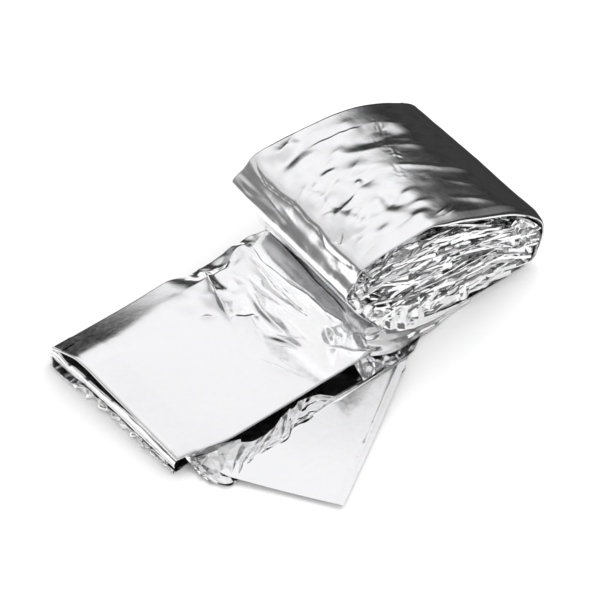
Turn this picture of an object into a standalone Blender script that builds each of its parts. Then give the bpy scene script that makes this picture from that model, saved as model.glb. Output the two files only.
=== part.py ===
"""Emergency foil blanket, half unrolled: one long folded band of metallised film.

The sheet is folded lengthwise into a flat band, and the band is wound into a flat, loosely sprung
roll.  Its loose end leaves the bottom of the roll, lies on the surface and is folded under at the
end.  The lowest ply of the band fans out to the front, flat on the surface.

Run with:  blender --background --python part.py
Sizes below are millimetres; MM turns them into Blender's metres.
+X runs along the band from its loose end to the roll, +Y across the band, +Z up.
The origin is the centre of the bottom of the bounding box.
"""

import math

import bmesh
import bpy
from mathutils import Vector

MM = 0.001

# --- the band ----------------------------------------------------------------------------------
BAND_WIDTH = 100.0  # folded width of the blanket
BAND_THICK = 1.6  # its plies together, lying loosely
WIDE_CELLS = 16  # cells across where the band shows
NARROW_CELLS = 8  # cells across inside the roll and underneath

# --- the roll's section: its outermost turn and its core, point by point ---------------------------
TURNS = 8
OUTLINE_TURN = 0.62  # this much of the first turn keeps to the outer outline
OUTER_SLACK = 0.85  # under 1, the outer turns stand further apart than the inner ones
SECTION_COLUMNS = ("name", "x", "z", "core_x", "core_z")
SECTION = (
    ("foot", 31.0, 6.2, 41.0, 34.0),
    ("land", 48.0, 2.6, 54.0, 30.4),
    ("rest_near", 64.0, 1.4, 68.0, 26.0),
    ("rest_mid", 84.0, 0.8, 82.0, 21.6),
    ("rest_far", 108.0, 0.8, 96.0, 17.6),
    ("end_low", 125.0, 3.6, 101.4, 16.4),
    ("end_mid", 130.2, 16.0, 103.6, 17.8),
    ("end_top", 127.6, 31.0, 102.6, 20.0),
    ("top_far", 115.0, 42.0, 96.0, 22.4),
    ("top_low", 89.0, 55.6, 80.0, 27.2),
    ("top_mid", 73.0, 61.0, 66.0, 31.4),
    ("peak", 56.0, 66.4, 54.0, 35.2),
    ("top_near", 34.0, 66.2, 42.0, 38.6),
    ("nose_top", 15.0, 62.0, 34.0, 40.4),
    ("nose_tip", 1.2, 50.0, 30.0, 39.8),
    ("nose_low", 4.0, 42.0, 30.0, 38.0),
    ("under", 17.0, 24.0, 34.0, 36.2),
)
NOSE_SKEW_X = 7.0  # the nose is further back on the far side of the band
NOSE_SKEW_Z = 4.0
NOSE_REACH_X = 58.0
EDGE_DRAW = 1.3  # how far the inner turns' edges are drawn in, more or less
EDGE_WAVES = 2.3  # waves of that a turn
PLY_WAVE = 0.5  # every turn is a little wavy, and most so near its edges
PLY_WAVES = 5  # waves of that a turn, so that neighbours lie in step

# --- the loose end ---------------------------------------------------------------------------------
TAIL_END_X = -107.0
TAIL_Z = 7.2  # middle of the upper ply above the surface
UNDER_Z = 3.0  # middle of the ply folded under, where it lies on the fanned-out ply
UNDER_END_X = 8.0  # where the ply folded under stops
TAIL_STEP = 9.0
FOLD_STEPS = 6
HUMP_Z = 1.6  # the upper ply lifts before it runs under the roll
BACK_DROP = 4.2  # and bends down to the folded edge at the back
BACK_STRIP = 17.0
FRONT_BULGE = 6.5  # the upper ply bellies out in front
UNDER_BULGE = 10.0  # the ply folded under still more

# --- the fanned-out lowest ply ------------------------------------------------------------------------
FLAP_CORNER = (-58.6, -120.0)  # its free corner in front
FLAP_TURN = math.radians(32.1)  # heading of its long edges from +X
FLAP_LENGTH = 160.0
FLAP_WIDTH = 100.0
FLAP_THICK = 1.6
FLAP_ROWS = 16
FLAP_CELLS = 11
FLAP_NARROWS_X = -90.0  # beyond this its hidden corner is pushed together
FLAP_NARROWING = 0.5
CORNER_LIFT = 3.0  # the free corner curls up
CORNER_REACH = 48.0
OVER_EDGE = 6.0  # the band stays level this far beyond the ply's edge
DOWN_REACH = 16.0  # and comes down to the surface in this much more

# --- mesh ------------------------------------------------------------------------------------------------
MAX_STEP = 12.5  # longest cell along the band
MAX_TURN = math.radians(21.0)  # most that one cell turns
SHOWING_STEP = 7.0  # longest cell where the band shows
SAMPLES = 24  # samples between two points of the path
SETTLE = 0.35  # cloth lower than this lies flat on the surface
MERGE = 0.00002  # metres

# --- main creases: place, heading from +X, length, width, and height (minus is a trough) -------------------
CREASE_COLUMNS = ("surface", "x", "y", "heading", "length", "width", "height")
CREASES = (
    ("top", 24, 20, 28, 46, 15, 1.1),
    ("top", 34, -8, 24, 52, 16, -1.3),
    ("top", 46, 28, 18, 44, 15, 1.0),
    ("top", 52, -30, 34, 40, 15, -1.2),
    ("top", 22, -34, 52, 38, 14, 1.4),
    ("top", 80, 6, 12, 46, 16, 1.0),
    ("top", 96, -24, 8, 44, 16, -0.9),
    ("top", 104, 30, 6, 40, 15, 0.9),
    ("tail", -34, 18, -62, 54, 14, 1.3),
    ("tail", -20, -8, -50, 60, 15, -1.2),
    ("tail", -8, 14, -74, 66, 14, 1.4),
    ("tail", -46, -22, -40, 44, 14, 1.0),
    ("tail", 12, 4, -86, 88, 13, -1.4),
    ("tail", -74, 18, 8, 60, 18, -0.8),
    ("flap", -20, -62, 32, 70, 16, 0.8),
    ("flap", -52, -78, 112, 60, 16, 0.7),
)


def smooth(low, high, value):
    """0 below low, 1 above high, and a smooth rise between them."""
    share = min(1.0, max(0.0, (value - low) / (high - low)))
    return share * share * (3.0 - 2.0 * share)


def section_points():
    """The middle of the band around the roll, turn by turn, each turn nearer to the core."""
    rows = [dict(zip(SECTION_COLUMNS, row)) for row in SECTION]
    points = []
    for turn in range(TURNS):
        for place, row in enumerate(rows):
            wound = max(0.0, turn + place / len(rows) - OUTLINE_TURN)
            inward = (wound / (TURNS - OUTLINE_TURN)) ** OUTER_SLACK
            x = row["x"] + (row["core_x"] - row["x"]) * inward
            z = row["z"] + (row["core_z"] - row["z"]) * inward
            points.append((x, z))
    return points


def tail_points():
    """The middle of the loose end: the ply folded under, its fold, and the upper ply.

    Also how many of the points come before the fold.
    """
    radius = (TAIL_Z - UNDER_Z) / 2.0
    fold_x = TAIL_END_X + radius + BAND_THICK / 2.0
    count = round((UNDER_END_X - fold_x) / TAIL_STEP)
    points = []
    for step in range(count):
        points.append((UNDER_END_X - (UNDER_END_X - fold_x) * step / count, UNDER_Z))
    before_fold = len(points)
    for step in range(FOLD_STEPS + 1):
        angle = math.radians(-90.0 - 180.0 * step / FOLD_STEPS)
        points.append((fold_x + radius * math.cos(angle),
                       UNDER_Z + radius * (1.0 + math.sin(angle))))
    roll_x = SECTION[0][1]
    count = round((roll_x - fold_x) / TAIL_STEP)
    for step in range(1, count):
        x = fold_x + (roll_x - fold_x) * step / count
        hump = HUMP_Z * smooth(-60.0, -10.0, x) * (1.0 - smooth(0.0, roll_x, x))
        points.append((x, TAIL_Z + hump))
    return points, before_fold


def curve(points, place):
    """A point of the smooth curve through the points, and place counts points along it."""
    index = min(int(place), len(points) - 2)
    t = place - index
    before = points[max(index - 1, 0)]
    start, end = points[index], points[index + 1]
    after = points[min(index + 2, len(points) - 1)]
    reach = math.dist(start, end)
    into = reach / max(math.dist(before, end), MM)
    out = reach / max(math.dist(start, after), MM)
    result = []
    for axis in range(2):
        slope_in = (end[axis] - before[axis]) * into
        slope_out = (after[axis] - start[axis]) * out
        result.append((2 * t**3 - 3 * t**2 + 1) * start[axis]
                      + (t**3 - 2 * t**2 + t) * slope_in
                      + (3 * t**2 - 2 * t**3) * end[axis]
                      + (t**3 - t**2) * slope_out)
    return tuple(result)


def stations(points, shown_from, shown_to):
    """Places along the band where the mesh has a row: close together where it bends or shows.

    Each is its place in the list of points, x, z, and the normal to the left of the band.
    """
    fine = [step / SAMPLES for step in range((len(points) - 1) * SAMPLES + 1)]
    line = [curve(points, place) for place in fine]
    rows = []
    run = bend = 0.0
    last_heading = None
    for index, (place, here) in enumerate(zip(fine, line)):
        ahead = line[min(index + 1, len(line) - 1)]
        behind = line[max(index - 1, 0)]
        heading = math.atan2(ahead[1] - behind[1], ahead[0] - behind[0])
        if last_heading is not None:
            turned = (heading - last_heading + math.pi) % (2.0 * math.pi) - math.pi
            bend += abs(turned)
            run += math.dist(here, line[index - 1])
        last_heading = heading
        longest = SHOWING_STEP if shown_from < place < shown_to else MAX_STEP
        if index in (0, len(fine) - 1) or run >= longest or bend >= MAX_TURN:
            rows.append((place, here[0], here[1], -math.sin(heading), math.cos(heading)))
            run = bend = 0.0
    return rows


def crease_height(surface, x, y):
    """Height of one surface's creases at a place on it."""
    height = 0.0
    for row in CREASES:
        crease = dict(zip(CREASE_COLUMNS, row))
        if crease["surface"] != surface:
            continue
        heading = math.radians(crease["heading"])
        dx, dy = x - crease["x"], y - crease["y"]
        along = dx * math.cos(heading) + dy * math.sin(heading)
        across = dy * math.cos(heading) - dx * math.sin(heading)
        fade = max(0.0, 1.0 - (2.0 * along / crease["length"]) ** 2)
        height += crease["height"] * fade * math.exp(-((2.0 * across / crease["width"]) ** 2))
    return height


def off_flap(x, y):
    """How far a place lies outside the fanned-out ply, in the plane of the surface."""
    dx, dy = x - FLAP_CORNER[0], y - FLAP_CORNER[1]
    along = dx * math.cos(FLAP_TURN) + dy * math.sin(FLAP_TURN)
    across = dy * math.cos(FLAP_TURN) - dx * math.sin(FLAP_TURN)
    beyond_x = max(-along, 0.0, along - FLAP_LENGTH)
    beyond_y = max(-across, 0.0, across - FLAP_WIDTH)
    return math.hypot(beyond_x, beyond_y)


def tail_place(x, z, across):
    """Where the loose end lies at one place: its y, and how much higher or lower it lies."""
    upper = smooth(UNDER_Z, TAIL_Z, z)
    belly = (UNDER_BULGE + (FRONT_BULGE - UNDER_BULGE) * upper)
    belly *= smooth(TAIL_END_X, -66.0, x) * (1.0 - smooth(4.0, SECTION[0][1], x))
    in_front = (1.0 - across) / 2.0
    y = across * BAND_WIDTH / 2.0 - belly * in_front
    down = (UNDER_Z - BAND_THICK / 2.0) * smooth(OVER_EDGE, OVER_EDGE + DOWN_REACH, off_flap(x, y))
    back = smooth(BAND_WIDTH / 2.0 - BACK_STRIP, BAND_WIDTH / 2.0, y) * (1.0 - smooth(-30.0, 0.0, x))
    lift = -(1.0 - upper) * down - upper * BACK_DROP * back
    lift += upper * crease_height("tail", x, y) * (1.0 - smooth(18.0, SECTION[0][1], x))
    lift *= 1.0 if x < SECTION[0][1] else 0.0
    return y, lift


def roll_place(turn, x, across):
    """Where the roll lies at one place: shifts in x and z, its y, and its lift off the section."""
    half = BAND_WIDTH / 2.0
    inside = smooth(0.9, 1.1, turn)
    drawn_in = EDGE_DRAW * (1.0 + math.sin(EDGE_WAVES * turn * 2.0 * math.pi)) * inside
    y = across * (half - drawn_in)
    nose = smooth(0.0, 1.0, (NOSE_REACH_X - x) / NOSE_REACH_X) * (across + 1.0) / 2.0
    nose *= smooth(0.3, 0.6, turn)
    wave = math.sin(PLY_WAVES * turn * 2.0 * math.pi + across)
    lift = PLY_WAVE * smooth(0.3, 0.5, turn) * across * across * wave
    shown = smooth(0.36, 0.46, turn) * (1.0 - smooth(0.74, 0.80, turn))
    lift += shown * crease_height("top", x, y)
    return nose * NOSE_SKEW_X, nose * NOSE_SKEW_Z, y, lift


def band_rows():
    """The band's two faces, row by row: each row is its lower and its upper line of places."""
    tail, before_fold = tail_points()
    shown_to = len(tail) + len(SECTION)
    rows = []
    for place, x, z, normal_x, normal_z in stations(tail + section_points(), before_fold, shown_to):
        turn = (place - len(tail)) / len(SECTION)
        cells = WIDE_CELLS if before_fold < place < shown_to else NARROW_CELLS
        lower, upper = [], []
        for column in range(cells + 1):
            across = 2.0 * column / cells - 1.0
            if turn < 0.0:
                y, lift = tail_place(x, z, across)
                at = Vector((x, y, z + lift))
            else:
                shift_x, shift_z, y, lift = roll_place(turn, x, across)
                at = Vector((x + shift_x - normal_x * lift, y, z + shift_z - normal_z * lift))
            half = Vector((normal_x, 0.0, normal_z)) * BAND_THICK / 2.0
            lower.append(settled(at - half))
            upper.append(settled(at + half))
        rows.append((lower, upper))
    return rows


def settled(place):
    """A place pressed flat where it all but touches the surface."""
    return Vector((place.x, place.y, 0.0)) if place.z < SETTLE else place


def join_lines(mesh, first, second, flip):
    """Faces between two lines of points, where one line may have twice as many cells."""
    def face(*corners):
        mesh.faces.new(tuple(reversed(corners)) if flip else corners)

    if len(first) == len(second):
        for a, b, c, d in zip(first, first[1:], second[1:], second):
            face(a, b, c, d)
        return
    if len(first) < len(second):
        join_lines(mesh, second, first, not flip)
        return
    for cell in range(len(second) - 1):
        a, middle, b = first[2 * cell], first[2 * cell + 1], first[2 * cell + 2]
        face(a, middle, second[cell])
        face(middle, second[cell + 1], second[cell])
        face(middle, b, second[cell + 1])


def middle(rows):
    """The middle of the rows' bounding box, on the surface."""
    places = [place for row in rows for side in row for place in side]
    xs = [place.x for place in places]
    ys = [place.y for place in places]
    return Vector(((min(xs) + max(xs)) / 2.0, (min(ys) + max(ys)) / 2.0, 0.0))


def sheet_mesh(name, rows, origin):
    """A closed mesh of a sheet from its rows of lower and upper points."""
    mesh = bmesh.new()
    lines = []
    for row in rows:
        lines.append(tuple([mesh.verts.new((place - origin) * MM) for place in side] for side in row))
    for (low, up), (next_low, next_up) in zip(lines, lines[1:]):
        join_lines(mesh, low, next_low, False)
        join_lines(mesh, up, next_up, True)
        mesh.faces.new((low[0], next_low[0], next_up[0], up[0]))
        mesh.faces.new((next_low[-1], low[-1], up[-1], next_up[-1]))
    for low, up in (lines[0], lines[-1]):
        for a, b, c, d in zip(low, low[1:], up[1:], up):
            mesh.faces.new((a, b, c, d))
    bmesh.ops.remove_doubles(mesh, verts=mesh.verts, dist=MERGE)
    bmesh.ops.recalc_face_normals(mesh, faces=mesh.faces)
    data = bpy.data.meshes.new(name)
    mesh.to_mesh(data)
    mesh.free()
    for polygon in data.polygons:
        polygon.use_smooth = True
    return data


def flap_rows():
    """The fanned-out ply, row by row along its length: flat underneath, its corner curled up."""
    rows = []
    for row in range(FLAP_ROWS + 1):
        along = FLAP_LENGTH * row / FLAP_ROWS
        lower, upper = [], []
        for column in range(FLAP_CELLS + 1):
            across = FLAP_WIDTH * column / FLAP_CELLS
            x = FLAP_CORNER[0] + along * math.cos(FLAP_TURN) - across * math.sin(FLAP_TURN)
            y = FLAP_CORNER[1] + along * math.sin(FLAP_TURN) + across * math.cos(FLAP_TURN)
            x += FLAP_NARROWING * max(0.0, FLAP_NARROWS_X - x)
            nearness = 1.0 - math.hypot(along, across) / CORNER_REACH
            curl = CORNER_LIFT * smooth(0.0, 1.0, nearness)
            crease = max(0.0, crease_height("flap", x, y)) * smooth(-44.0, -60.0, y)
            lower.append(settled(Vector((x, y, curl))))
            upper.append(Vector((x, y, curl + crease + FLAP_THICK)))
        rows.append((lower, upper))
    return rows


def foil_material():
    """Silver film, metallised on both sides."""
    material = bpy.data.materials.new("silver_film")
    material.use_nodes = True
    shader = material.node_tree.nodes["Principled BSDF"]
    shader.inputs["Base Color"].default_value = (0.90, 0.90, 0.92, 1.0)
    shader.inputs["Metallic"].default_value = 1.0
    shader.inputs["Roughness"].default_value = 0.18
    return material


def main():
    """Build the blanket as one solid, its fanned-out ply joined on under the roll."""
    for thing in list(bpy.data.objects):
        bpy.data.objects.remove(thing, do_unlink=True)

    part = bpy.data.collections.new("emergency_foil_blanket")
    helpers = bpy.data.collections.new("joined_shapes")
    for collection in (part, helpers):
        bpy.context.scene.collection.children.link(collection)
    foil = foil_material()

    band = band_rows()
    lowest = flap_rows()
    origin = middle(band + lowest)
    blanket = bpy.data.objects.new("foil_blanket", sheet_mesh("band", band, origin))
    blanket.data.materials.append(foil)
    part.objects.link(blanket)

    flap = bpy.data.objects.new("lowest_ply", sheet_mesh("lowest_ply", lowest, origin))
    flap.data.materials.append(foil)
    flap.hide_render = True
    flap.display_type = "WIRE"
    helpers.objects.link(flap)

    join = blanket.modifiers.new("lowest_ply", "BOOLEAN")
    join.operation = "UNION"
    join.solver = "EXACT"
    join.object = flap


main()
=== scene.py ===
"""Looks of an emergency foil blanket, half unrolled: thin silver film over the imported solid.

The blanket is one sheet of metallised film, folded lengthwise into a band and wound into a flat,
loosely sprung roll.  Here its plies are modelled as thin film: the wrapping ply of the roll, the
turns wound inside it, the loose end with its stacked folds, and the lowest ply fanned out in front.

Sizes are millimetres in the band's own axes, as the solid is laid out: +X runs along the band from
its loose end to the roll, +Y across it to the back, +Z up, and x is 0 at the tip of the roll's nose.
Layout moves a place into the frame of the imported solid, in metres.
"""
import logging
import math
from collections.abc import Sequence
from dataclasses import dataclass, field
from enum import Enum

import bpy
import numpy as np
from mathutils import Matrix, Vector


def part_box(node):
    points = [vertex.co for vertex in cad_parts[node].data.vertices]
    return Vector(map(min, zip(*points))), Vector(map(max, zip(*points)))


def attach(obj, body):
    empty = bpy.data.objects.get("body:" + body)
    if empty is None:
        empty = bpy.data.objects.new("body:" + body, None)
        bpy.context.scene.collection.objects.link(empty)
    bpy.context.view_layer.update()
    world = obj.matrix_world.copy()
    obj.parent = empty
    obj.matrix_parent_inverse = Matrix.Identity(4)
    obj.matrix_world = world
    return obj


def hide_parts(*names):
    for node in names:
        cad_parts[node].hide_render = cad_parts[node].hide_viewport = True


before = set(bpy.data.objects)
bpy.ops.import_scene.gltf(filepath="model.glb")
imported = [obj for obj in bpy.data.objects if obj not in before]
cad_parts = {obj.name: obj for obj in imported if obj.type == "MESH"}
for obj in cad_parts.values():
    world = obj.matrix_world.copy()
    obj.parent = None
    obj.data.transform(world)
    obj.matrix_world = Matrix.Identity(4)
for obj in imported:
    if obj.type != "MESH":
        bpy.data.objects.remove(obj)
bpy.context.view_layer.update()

MM = 0.001
NODE = "foil_blanket"

log = logging.getLogger("foil_blanket")

# --- the band, as the solid is laid out ---------------------------------------------------------
BAND_WIDTH = 100.0
HALF_BAND = BAND_WIDTH / 2.0
PLY_HALF = 0.8  # half the thickness of the solid's band
TAIL_END_X = -107.0
TAIL_Z = 7.2
FLAP_CORNER = (-58.6, -120.0)
FLAP_TURN = math.radians(32.1)

# --- the roll's section: its outermost turn and its core ------------------------------------------
SECTION_COLUMNS = ("name", "x", "z", "back_x", "back_z", "core_x", "core_z")
SECTION = (
    ("foot", 31.0, 6.2, 31.0, 6.2, 33.0, 43.0),
    ("land", 48.0, 2.6, 48.0, 2.6, 47.0, 38.6),
    ("rest_near", 64.0, 1.4, 64.0, 1.4, 63.0, 33.6),
    ("rest_mid", 84.0, 0.8, 84.0, 0.8, 82.0, 27.6),
    ("rest_far", 108.0, 0.8, 108.0, 0.8, 104.0, 21.4),
    ("end_low", 125.0, 3.6, 125.0, 3.6, 113.0, 18.8),
    ("end_mid", 130.2, 16.0, 131.0, 17.4, 115.4, 19.2),
    ("end_top", 127.6, 31.0, 129.4, 32.4, 114.0, 20.6),
    ("top_far", 115.0, 42.4, 113.0, 45.0, 106.0, 23.0),
    ("top_low", 90.0, 55.6, 92.0, 55.4, 86.0, 29.0),
    ("shoulder", 74.5, 62.6, 76.0, 59.8, 71.0, 33.6),
    ("peak", 56.0, 67.4, 56.0, 61.8, 55.0, 38.6),
    ("top_near", 34.0, 68.0, 38.0, 62.8, 38.0, 43.6),
    ("nose_back", 15.0, 66.8, 26.0, 62.8, 22.0, 48.4),
    ("nose_crest", 10.8, 65.6, 22.0, 61.8, 18.6, 49.4),
    ("nose_front", 5.7, 59.6, 15.2, 57.4, 16.0, 50.0),
    ("nose_tip", 0.6, 53.0, 8.4, 53.0, 14.0, 49.6),
    ("nose_low", 4.4, 43.6, 11.0, 46.0, 15.0, 48.0),
    ("under", 16.4, 25.0, 23.0, 27.0, 22.0, 46.0),
)
NOSE_ROW = 14
UNROLLED = "unrolled_size"
LEAD = 0.63  # how much of the first turn keeps to the outline
SLACK = 0.85  # under 1, the outer turns stand further apart than the inner ones
CREASE_REACH = 4.0  # in widths, how far from its line a crease is worked out
EVERYWHERE = (math.inf, math.inf)  # the reach of a form that covers its whole sheet

# --- ways that the mirrored lights lie -----------------------------------------------------------
UP = (0.0, 0.0, 1.0)
BACK = (0.0, 1.0, 0.0)
RIGHT = (1.0, 0.0, 0.0)
BACK_LEFT = (-0.80, 0.60, 0.0)


def smooth(low: float, high: float, value: np.ndarray | float) -> np.ndarray:
    """A smooth step.

    Args:
        low: Where the step begins.
        high: Where it ends.
        value: Places to read it at.

    Returns:
        0 below low, 1 above high, and a smooth rise between.
    """
    share = np.clip((value - low) / (high - low), 0.0, 1.0)
    return share * share * (3.0 - 2.0 * share)


def window(rise: tuple[float, float], fall: tuple[float, float], value: np.ndarray) -> np.ndarray:
    """A smooth step up and a smooth step down again.

    Args:
        rise: Where the first step begins and ends.
        fall: Where the second one does.
        value: Places to read it at.

    Returns:
        1 between the steps and 0 outside them.
    """
    return smooth(*rise, value) * (1.0 - smooth(*fall, value))


def distance_along(places: np.ndarray) -> np.ndarray:
    """How far along a line of places each of them lies."""
    return np.concatenate(((0.0,), np.cumsum(np.linalg.norm(np.diff(places, axis=0), axis=1))))


def hermite(share: np.ndarray, ends: Sequence[np.ndarray], slopes: Sequence[np.ndarray]) -> np.ndarray:
    """A smooth curve from one place to the next.

    Args:
        share: How far along it to read it, from 0 to 1.
        ends: Its two ends.
        slopes: How steeply it leaves the first and reaches the second.

    Returns:
        Places on the curve.
    """
    square, cube = share**2, share**3
    return ((2 * cube - 3 * square + 1) * ends[0] + (3 * square - 2 * cube) * ends[1]
            + (cube - 2 * square + share) * slopes[0] + (cube - square) * slopes[1])


def feed(node: bpy.types.Node, inputs: dict[int | str, object]) -> None:
    """Give a node's inputs what they need.

    Args:
        node: The node.
        inputs: For each input a value, a socket to link from, or a node for its first output.
    """
    for label, value in inputs.items():
        if isinstance(value, bpy.types.Node):
            value = value.outputs[0]
        if isinstance(value, bpy.types.NodeSocket):
            node.id_data.links.new(value, node.inputs[label])
        else:
            node.inputs[label].default_value = value


def add_node(tree: bpy.types.NodeTree, kind: str, inputs: dict[int | str, object] | None = None,
             **settings: str) -> bpy.types.Node:
    """Add a node to a tree.

    Args:
        tree: The tree.
        kind: The node's type.
        inputs: What its inputs get, as for feed.
        settings: Its own properties.

    Returns:
        The new node.
    """
    node = tree.nodes.new(kind)
    for label, value in settings.items():
        setattr(node, label, value)
    feed(node, inputs or {})
    return node


def new_group(name: str, kind: str, inputs: dict[str, str],
              outputs: dict[str, str]) -> tuple[bpy.types.NodeTree, object, bpy.types.Node]:
    """Start a node group.

    Args:
        name: The group's name.
        kind: The type of its tree.
        inputs: What goes in, by name and kind of socket.
        outputs: What comes out, likewise.

    Returns:
        The tree, the sockets that bring its inputs, and the node that takes its outputs.
    """
    tree = bpy.data.node_groups.new(name, kind)
    for in_out, sockets in (("INPUT", inputs), ("OUTPUT", outputs)):
        for label, socket in sockets.items():
            tree.interface.new_socket(label, in_out=in_out, socket_type=f"NodeSocket{socket}")
    return tree, add_node(tree, "NodeGroupInput").outputs, add_node(tree, "NodeGroupOutput")


@dataclass(frozen=True)
class Layout:
    """Moves places from the band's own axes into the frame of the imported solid."""

    origin_x: float
    origin_y: float

    @classmethod
    def from_frame(cls) -> "Layout":
        """The layout that puts the band's loose end and back edge where the solid has them."""
        low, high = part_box(NODE)
        return cls(TAIL_END_X - low[0] / MM, HALF_BAND - high[1] / MM)

    def place(self, points: np.ndarray) -> np.ndarray:
        """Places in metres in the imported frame.

        Args:
            points: Places in millimetres in the band's axes, x, y and z last.

        Returns:
            The same places, moved and scaled.
        """
        return (points - np.array((self.origin_x, self.origin_y, 0.0))) * MM


@dataclass(frozen=True)
class Noise:
    """Smooth gradient noise in a plane, the same on every run for one seed."""

    seed: int
    cells: int = 64

    def at(self, u: np.ndarray, v: np.ndarray) -> np.ndarray:
        """Noise of about -0.7 to 0.7, one cell a unit.

        Args:
            u: First coordinate.
            v: Second coordinate, of the same shape.

        Returns:
            The noise at each place.
        """
        heading = np.random.default_rng(self.seed).uniform(0.0, 2.0 * np.pi, (self.cells, self.cells))
        cell_u, cell_v = np.floor(u).astype(int), np.floor(v).astype(int)
        in_u, in_v = u - cell_u, v - cell_v

        def corner(step_u: int, step_v: int) -> np.ndarray:
            """The pull of one corner of each cell."""
            turn = heading[(cell_u + step_u) % self.cells, (cell_v + step_v) % self.cells]
            return np.cos(turn) * (in_u - step_u) + np.sin(turn) * (in_v - step_v)

        ease_u = in_u**3 * (in_u * (in_u * 6.0 - 15.0) + 10.0)
        ease_v = in_v**3 * (in_v * (in_v * 6.0 - 15.0) + 10.0)
        low = corner(0, 0) * (1.0 - ease_u) + corner(1, 0) * ease_u
        high = corner(0, 1) * (1.0 - ease_u) + corner(1, 1) * ease_u
        return low * (1.0 - ease_v) + high * ease_v


class Edge(Enum):
    """How a crease is shaped across its line."""

    SOFT = "a rounded ridge or trough"
    SHARP = "a pressed crease with a keen crest"
    STEP = "the edge of a pleat, high on the left of the line"


def facets(seed: int, u: np.ndarray, v: np.ndarray, size: float, folds: int = 6) -> np.ndarray:
    """Flat facets between straight folds, as in crumpled film.

    Args:
        seed: Seed of the folds.
        u: First coordinate.
        v: Second coordinate, of the same shape.
        size: Usual distance from fold to fold.
        folds: How many families of folds cross.

    Returns:
        Heights of about -1 to 1.
    """
    rng = np.random.default_rng(seed)
    total = np.zeros(np.broadcast(u, v).shape)
    for family in range(folds):
        turn, length = rng.uniform(0.0, np.pi), size * rng.uniform(1.2, 3.0)
        bend = Noise(seed + family).at(u / (size * 2.5), v / (size * 2.5))
        wave = ((u * math.cos(turn) + v * math.sin(turn)) / length + rng.uniform() + bend * 0.9) % 1.0
        total += (np.abs(wave - 0.5) * 4.0 - 1.0) * length / (2.0 * size)
    return total / folds**0.5


class Form:
    """Something that is pressed into a sheet of film."""

    def press(self, relief: "Relief") -> None:
        """Add the form to a sheet's heights."""
        raise NotImplementedError


@dataclass
class Relief:
    """Heights over a sheet, on its grid of places along and across it."""

    along: np.ndarray
    across: np.ndarray
    u: np.ndarray = field(init=False)
    v: np.ndarray = field(init=False)
    height: np.ndarray = field(init=False)

    def __post_init__(self) -> None:
        """Start flat."""
        self.u, self.v = np.meshgrid(self.along, self.across, indexing="ij")
        self.height = np.zeros(self.u.shape)

    def patch(self, at: tuple[float, float], reach: tuple[float, float]) -> np.ndarray:
        """A soft round patch of the sheet.

        Args:
            at: Its middle.
            reach: Its half sizes along and across.

        Returns:
            1 in the middle and 0 outside, on the sheet's grid.
        """
        return 1.0 - smooth(0.3, 1.0, np.hypot((self.u - at[0]) / reach[0], (self.v - at[1]) / reach[1]))

    def add(self, *forms: Form) -> None:
        """Press forms into the sheet, one after the other."""
        for form in forms:
            form.press(self)


@dataclass(frozen=True)
class Crease(Form):
    """One crease of the film along a short line of places; left and right are its widths."""

    line: tuple[tuple[float, float], ...]
    height: float
    left: float
    right: float
    edge: Edge = Edge.SHARP
    fades: tuple[float, float] = (0.5, 0.5)

    def measure(self, u: np.ndarray, v: np.ndarray) -> tuple[np.ndarray, np.ndarray]:
        """Measure places of the sheet against the crease's line.

        Args:
            u: Places along the sheet.
            v: Places across it.

        Returns:
            How far to the left of the line each place lies, and its share of the way down the line.
        """
        line = np.array(self.line)
        run = distance_along(line)
        nearest = np.full(u.shape, np.inf)
        aside, gone = np.zeros(u.shape), np.zeros(u.shape)
        for index, length in enumerate(np.diff(run)):
            run_u, run_v = (line[index + 1] - line[index]) / length
            du, dv = u - line[index, 0], v - line[index, 1]
            down = np.clip(du * run_u + dv * run_v, 0.0, length)
            distance = np.hypot(du - down * run_u, dv - down * run_v)
            closer = distance < nearest
            nearest = np.where(closer, distance, nearest)
            aside = np.where(closer, np.where(dv * run_u - du * run_v > 0.0, distance, -distance), aside)
            gone = np.where(closer, run[index] + down, gone)
        return aside, gone / run[-1]

    def press(self, relief: Relief) -> None:
        """Press the crease into the part of the sheet that it reaches.

        Args:
            relief: The sheet's heights.
        """
        reach = CREASE_REACH * max(self.left, self.right)
        low, high = np.min(self.line, axis=0) - reach, np.max(self.line, axis=0) + reach
        part = (slice(*np.searchsorted(relief.along, (low[0], high[0]))),
                slice(*np.searchsorted(relief.across, (low[1], high[1]))))
        u, v = relief.u[part], relief.v[part]
        if u.size == 0:
            return
        aside, share = self.measure(u, v)
        shape = np.ones(u.shape)
        for fade, gone in zip(self.fades, (share, 1.0 - share)):
            if fade > 0.0:
                shape *= smooth(0.0, fade, gone)
        widths = np.abs(aside) / np.where(aside > 0.0, self.left, self.right)
        if self.edge is Edge.SHARP:
            shape *= np.exp(-widths)
        elif self.edge is Edge.SOFT:
            shape *= np.exp(-(widths**2))
        else:
            shape *= smooth(-self.right, 0.0, aside) * np.exp(-np.maximum(0.0, aside) / self.left)
        relief.height[part] += self.height * shape


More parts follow.
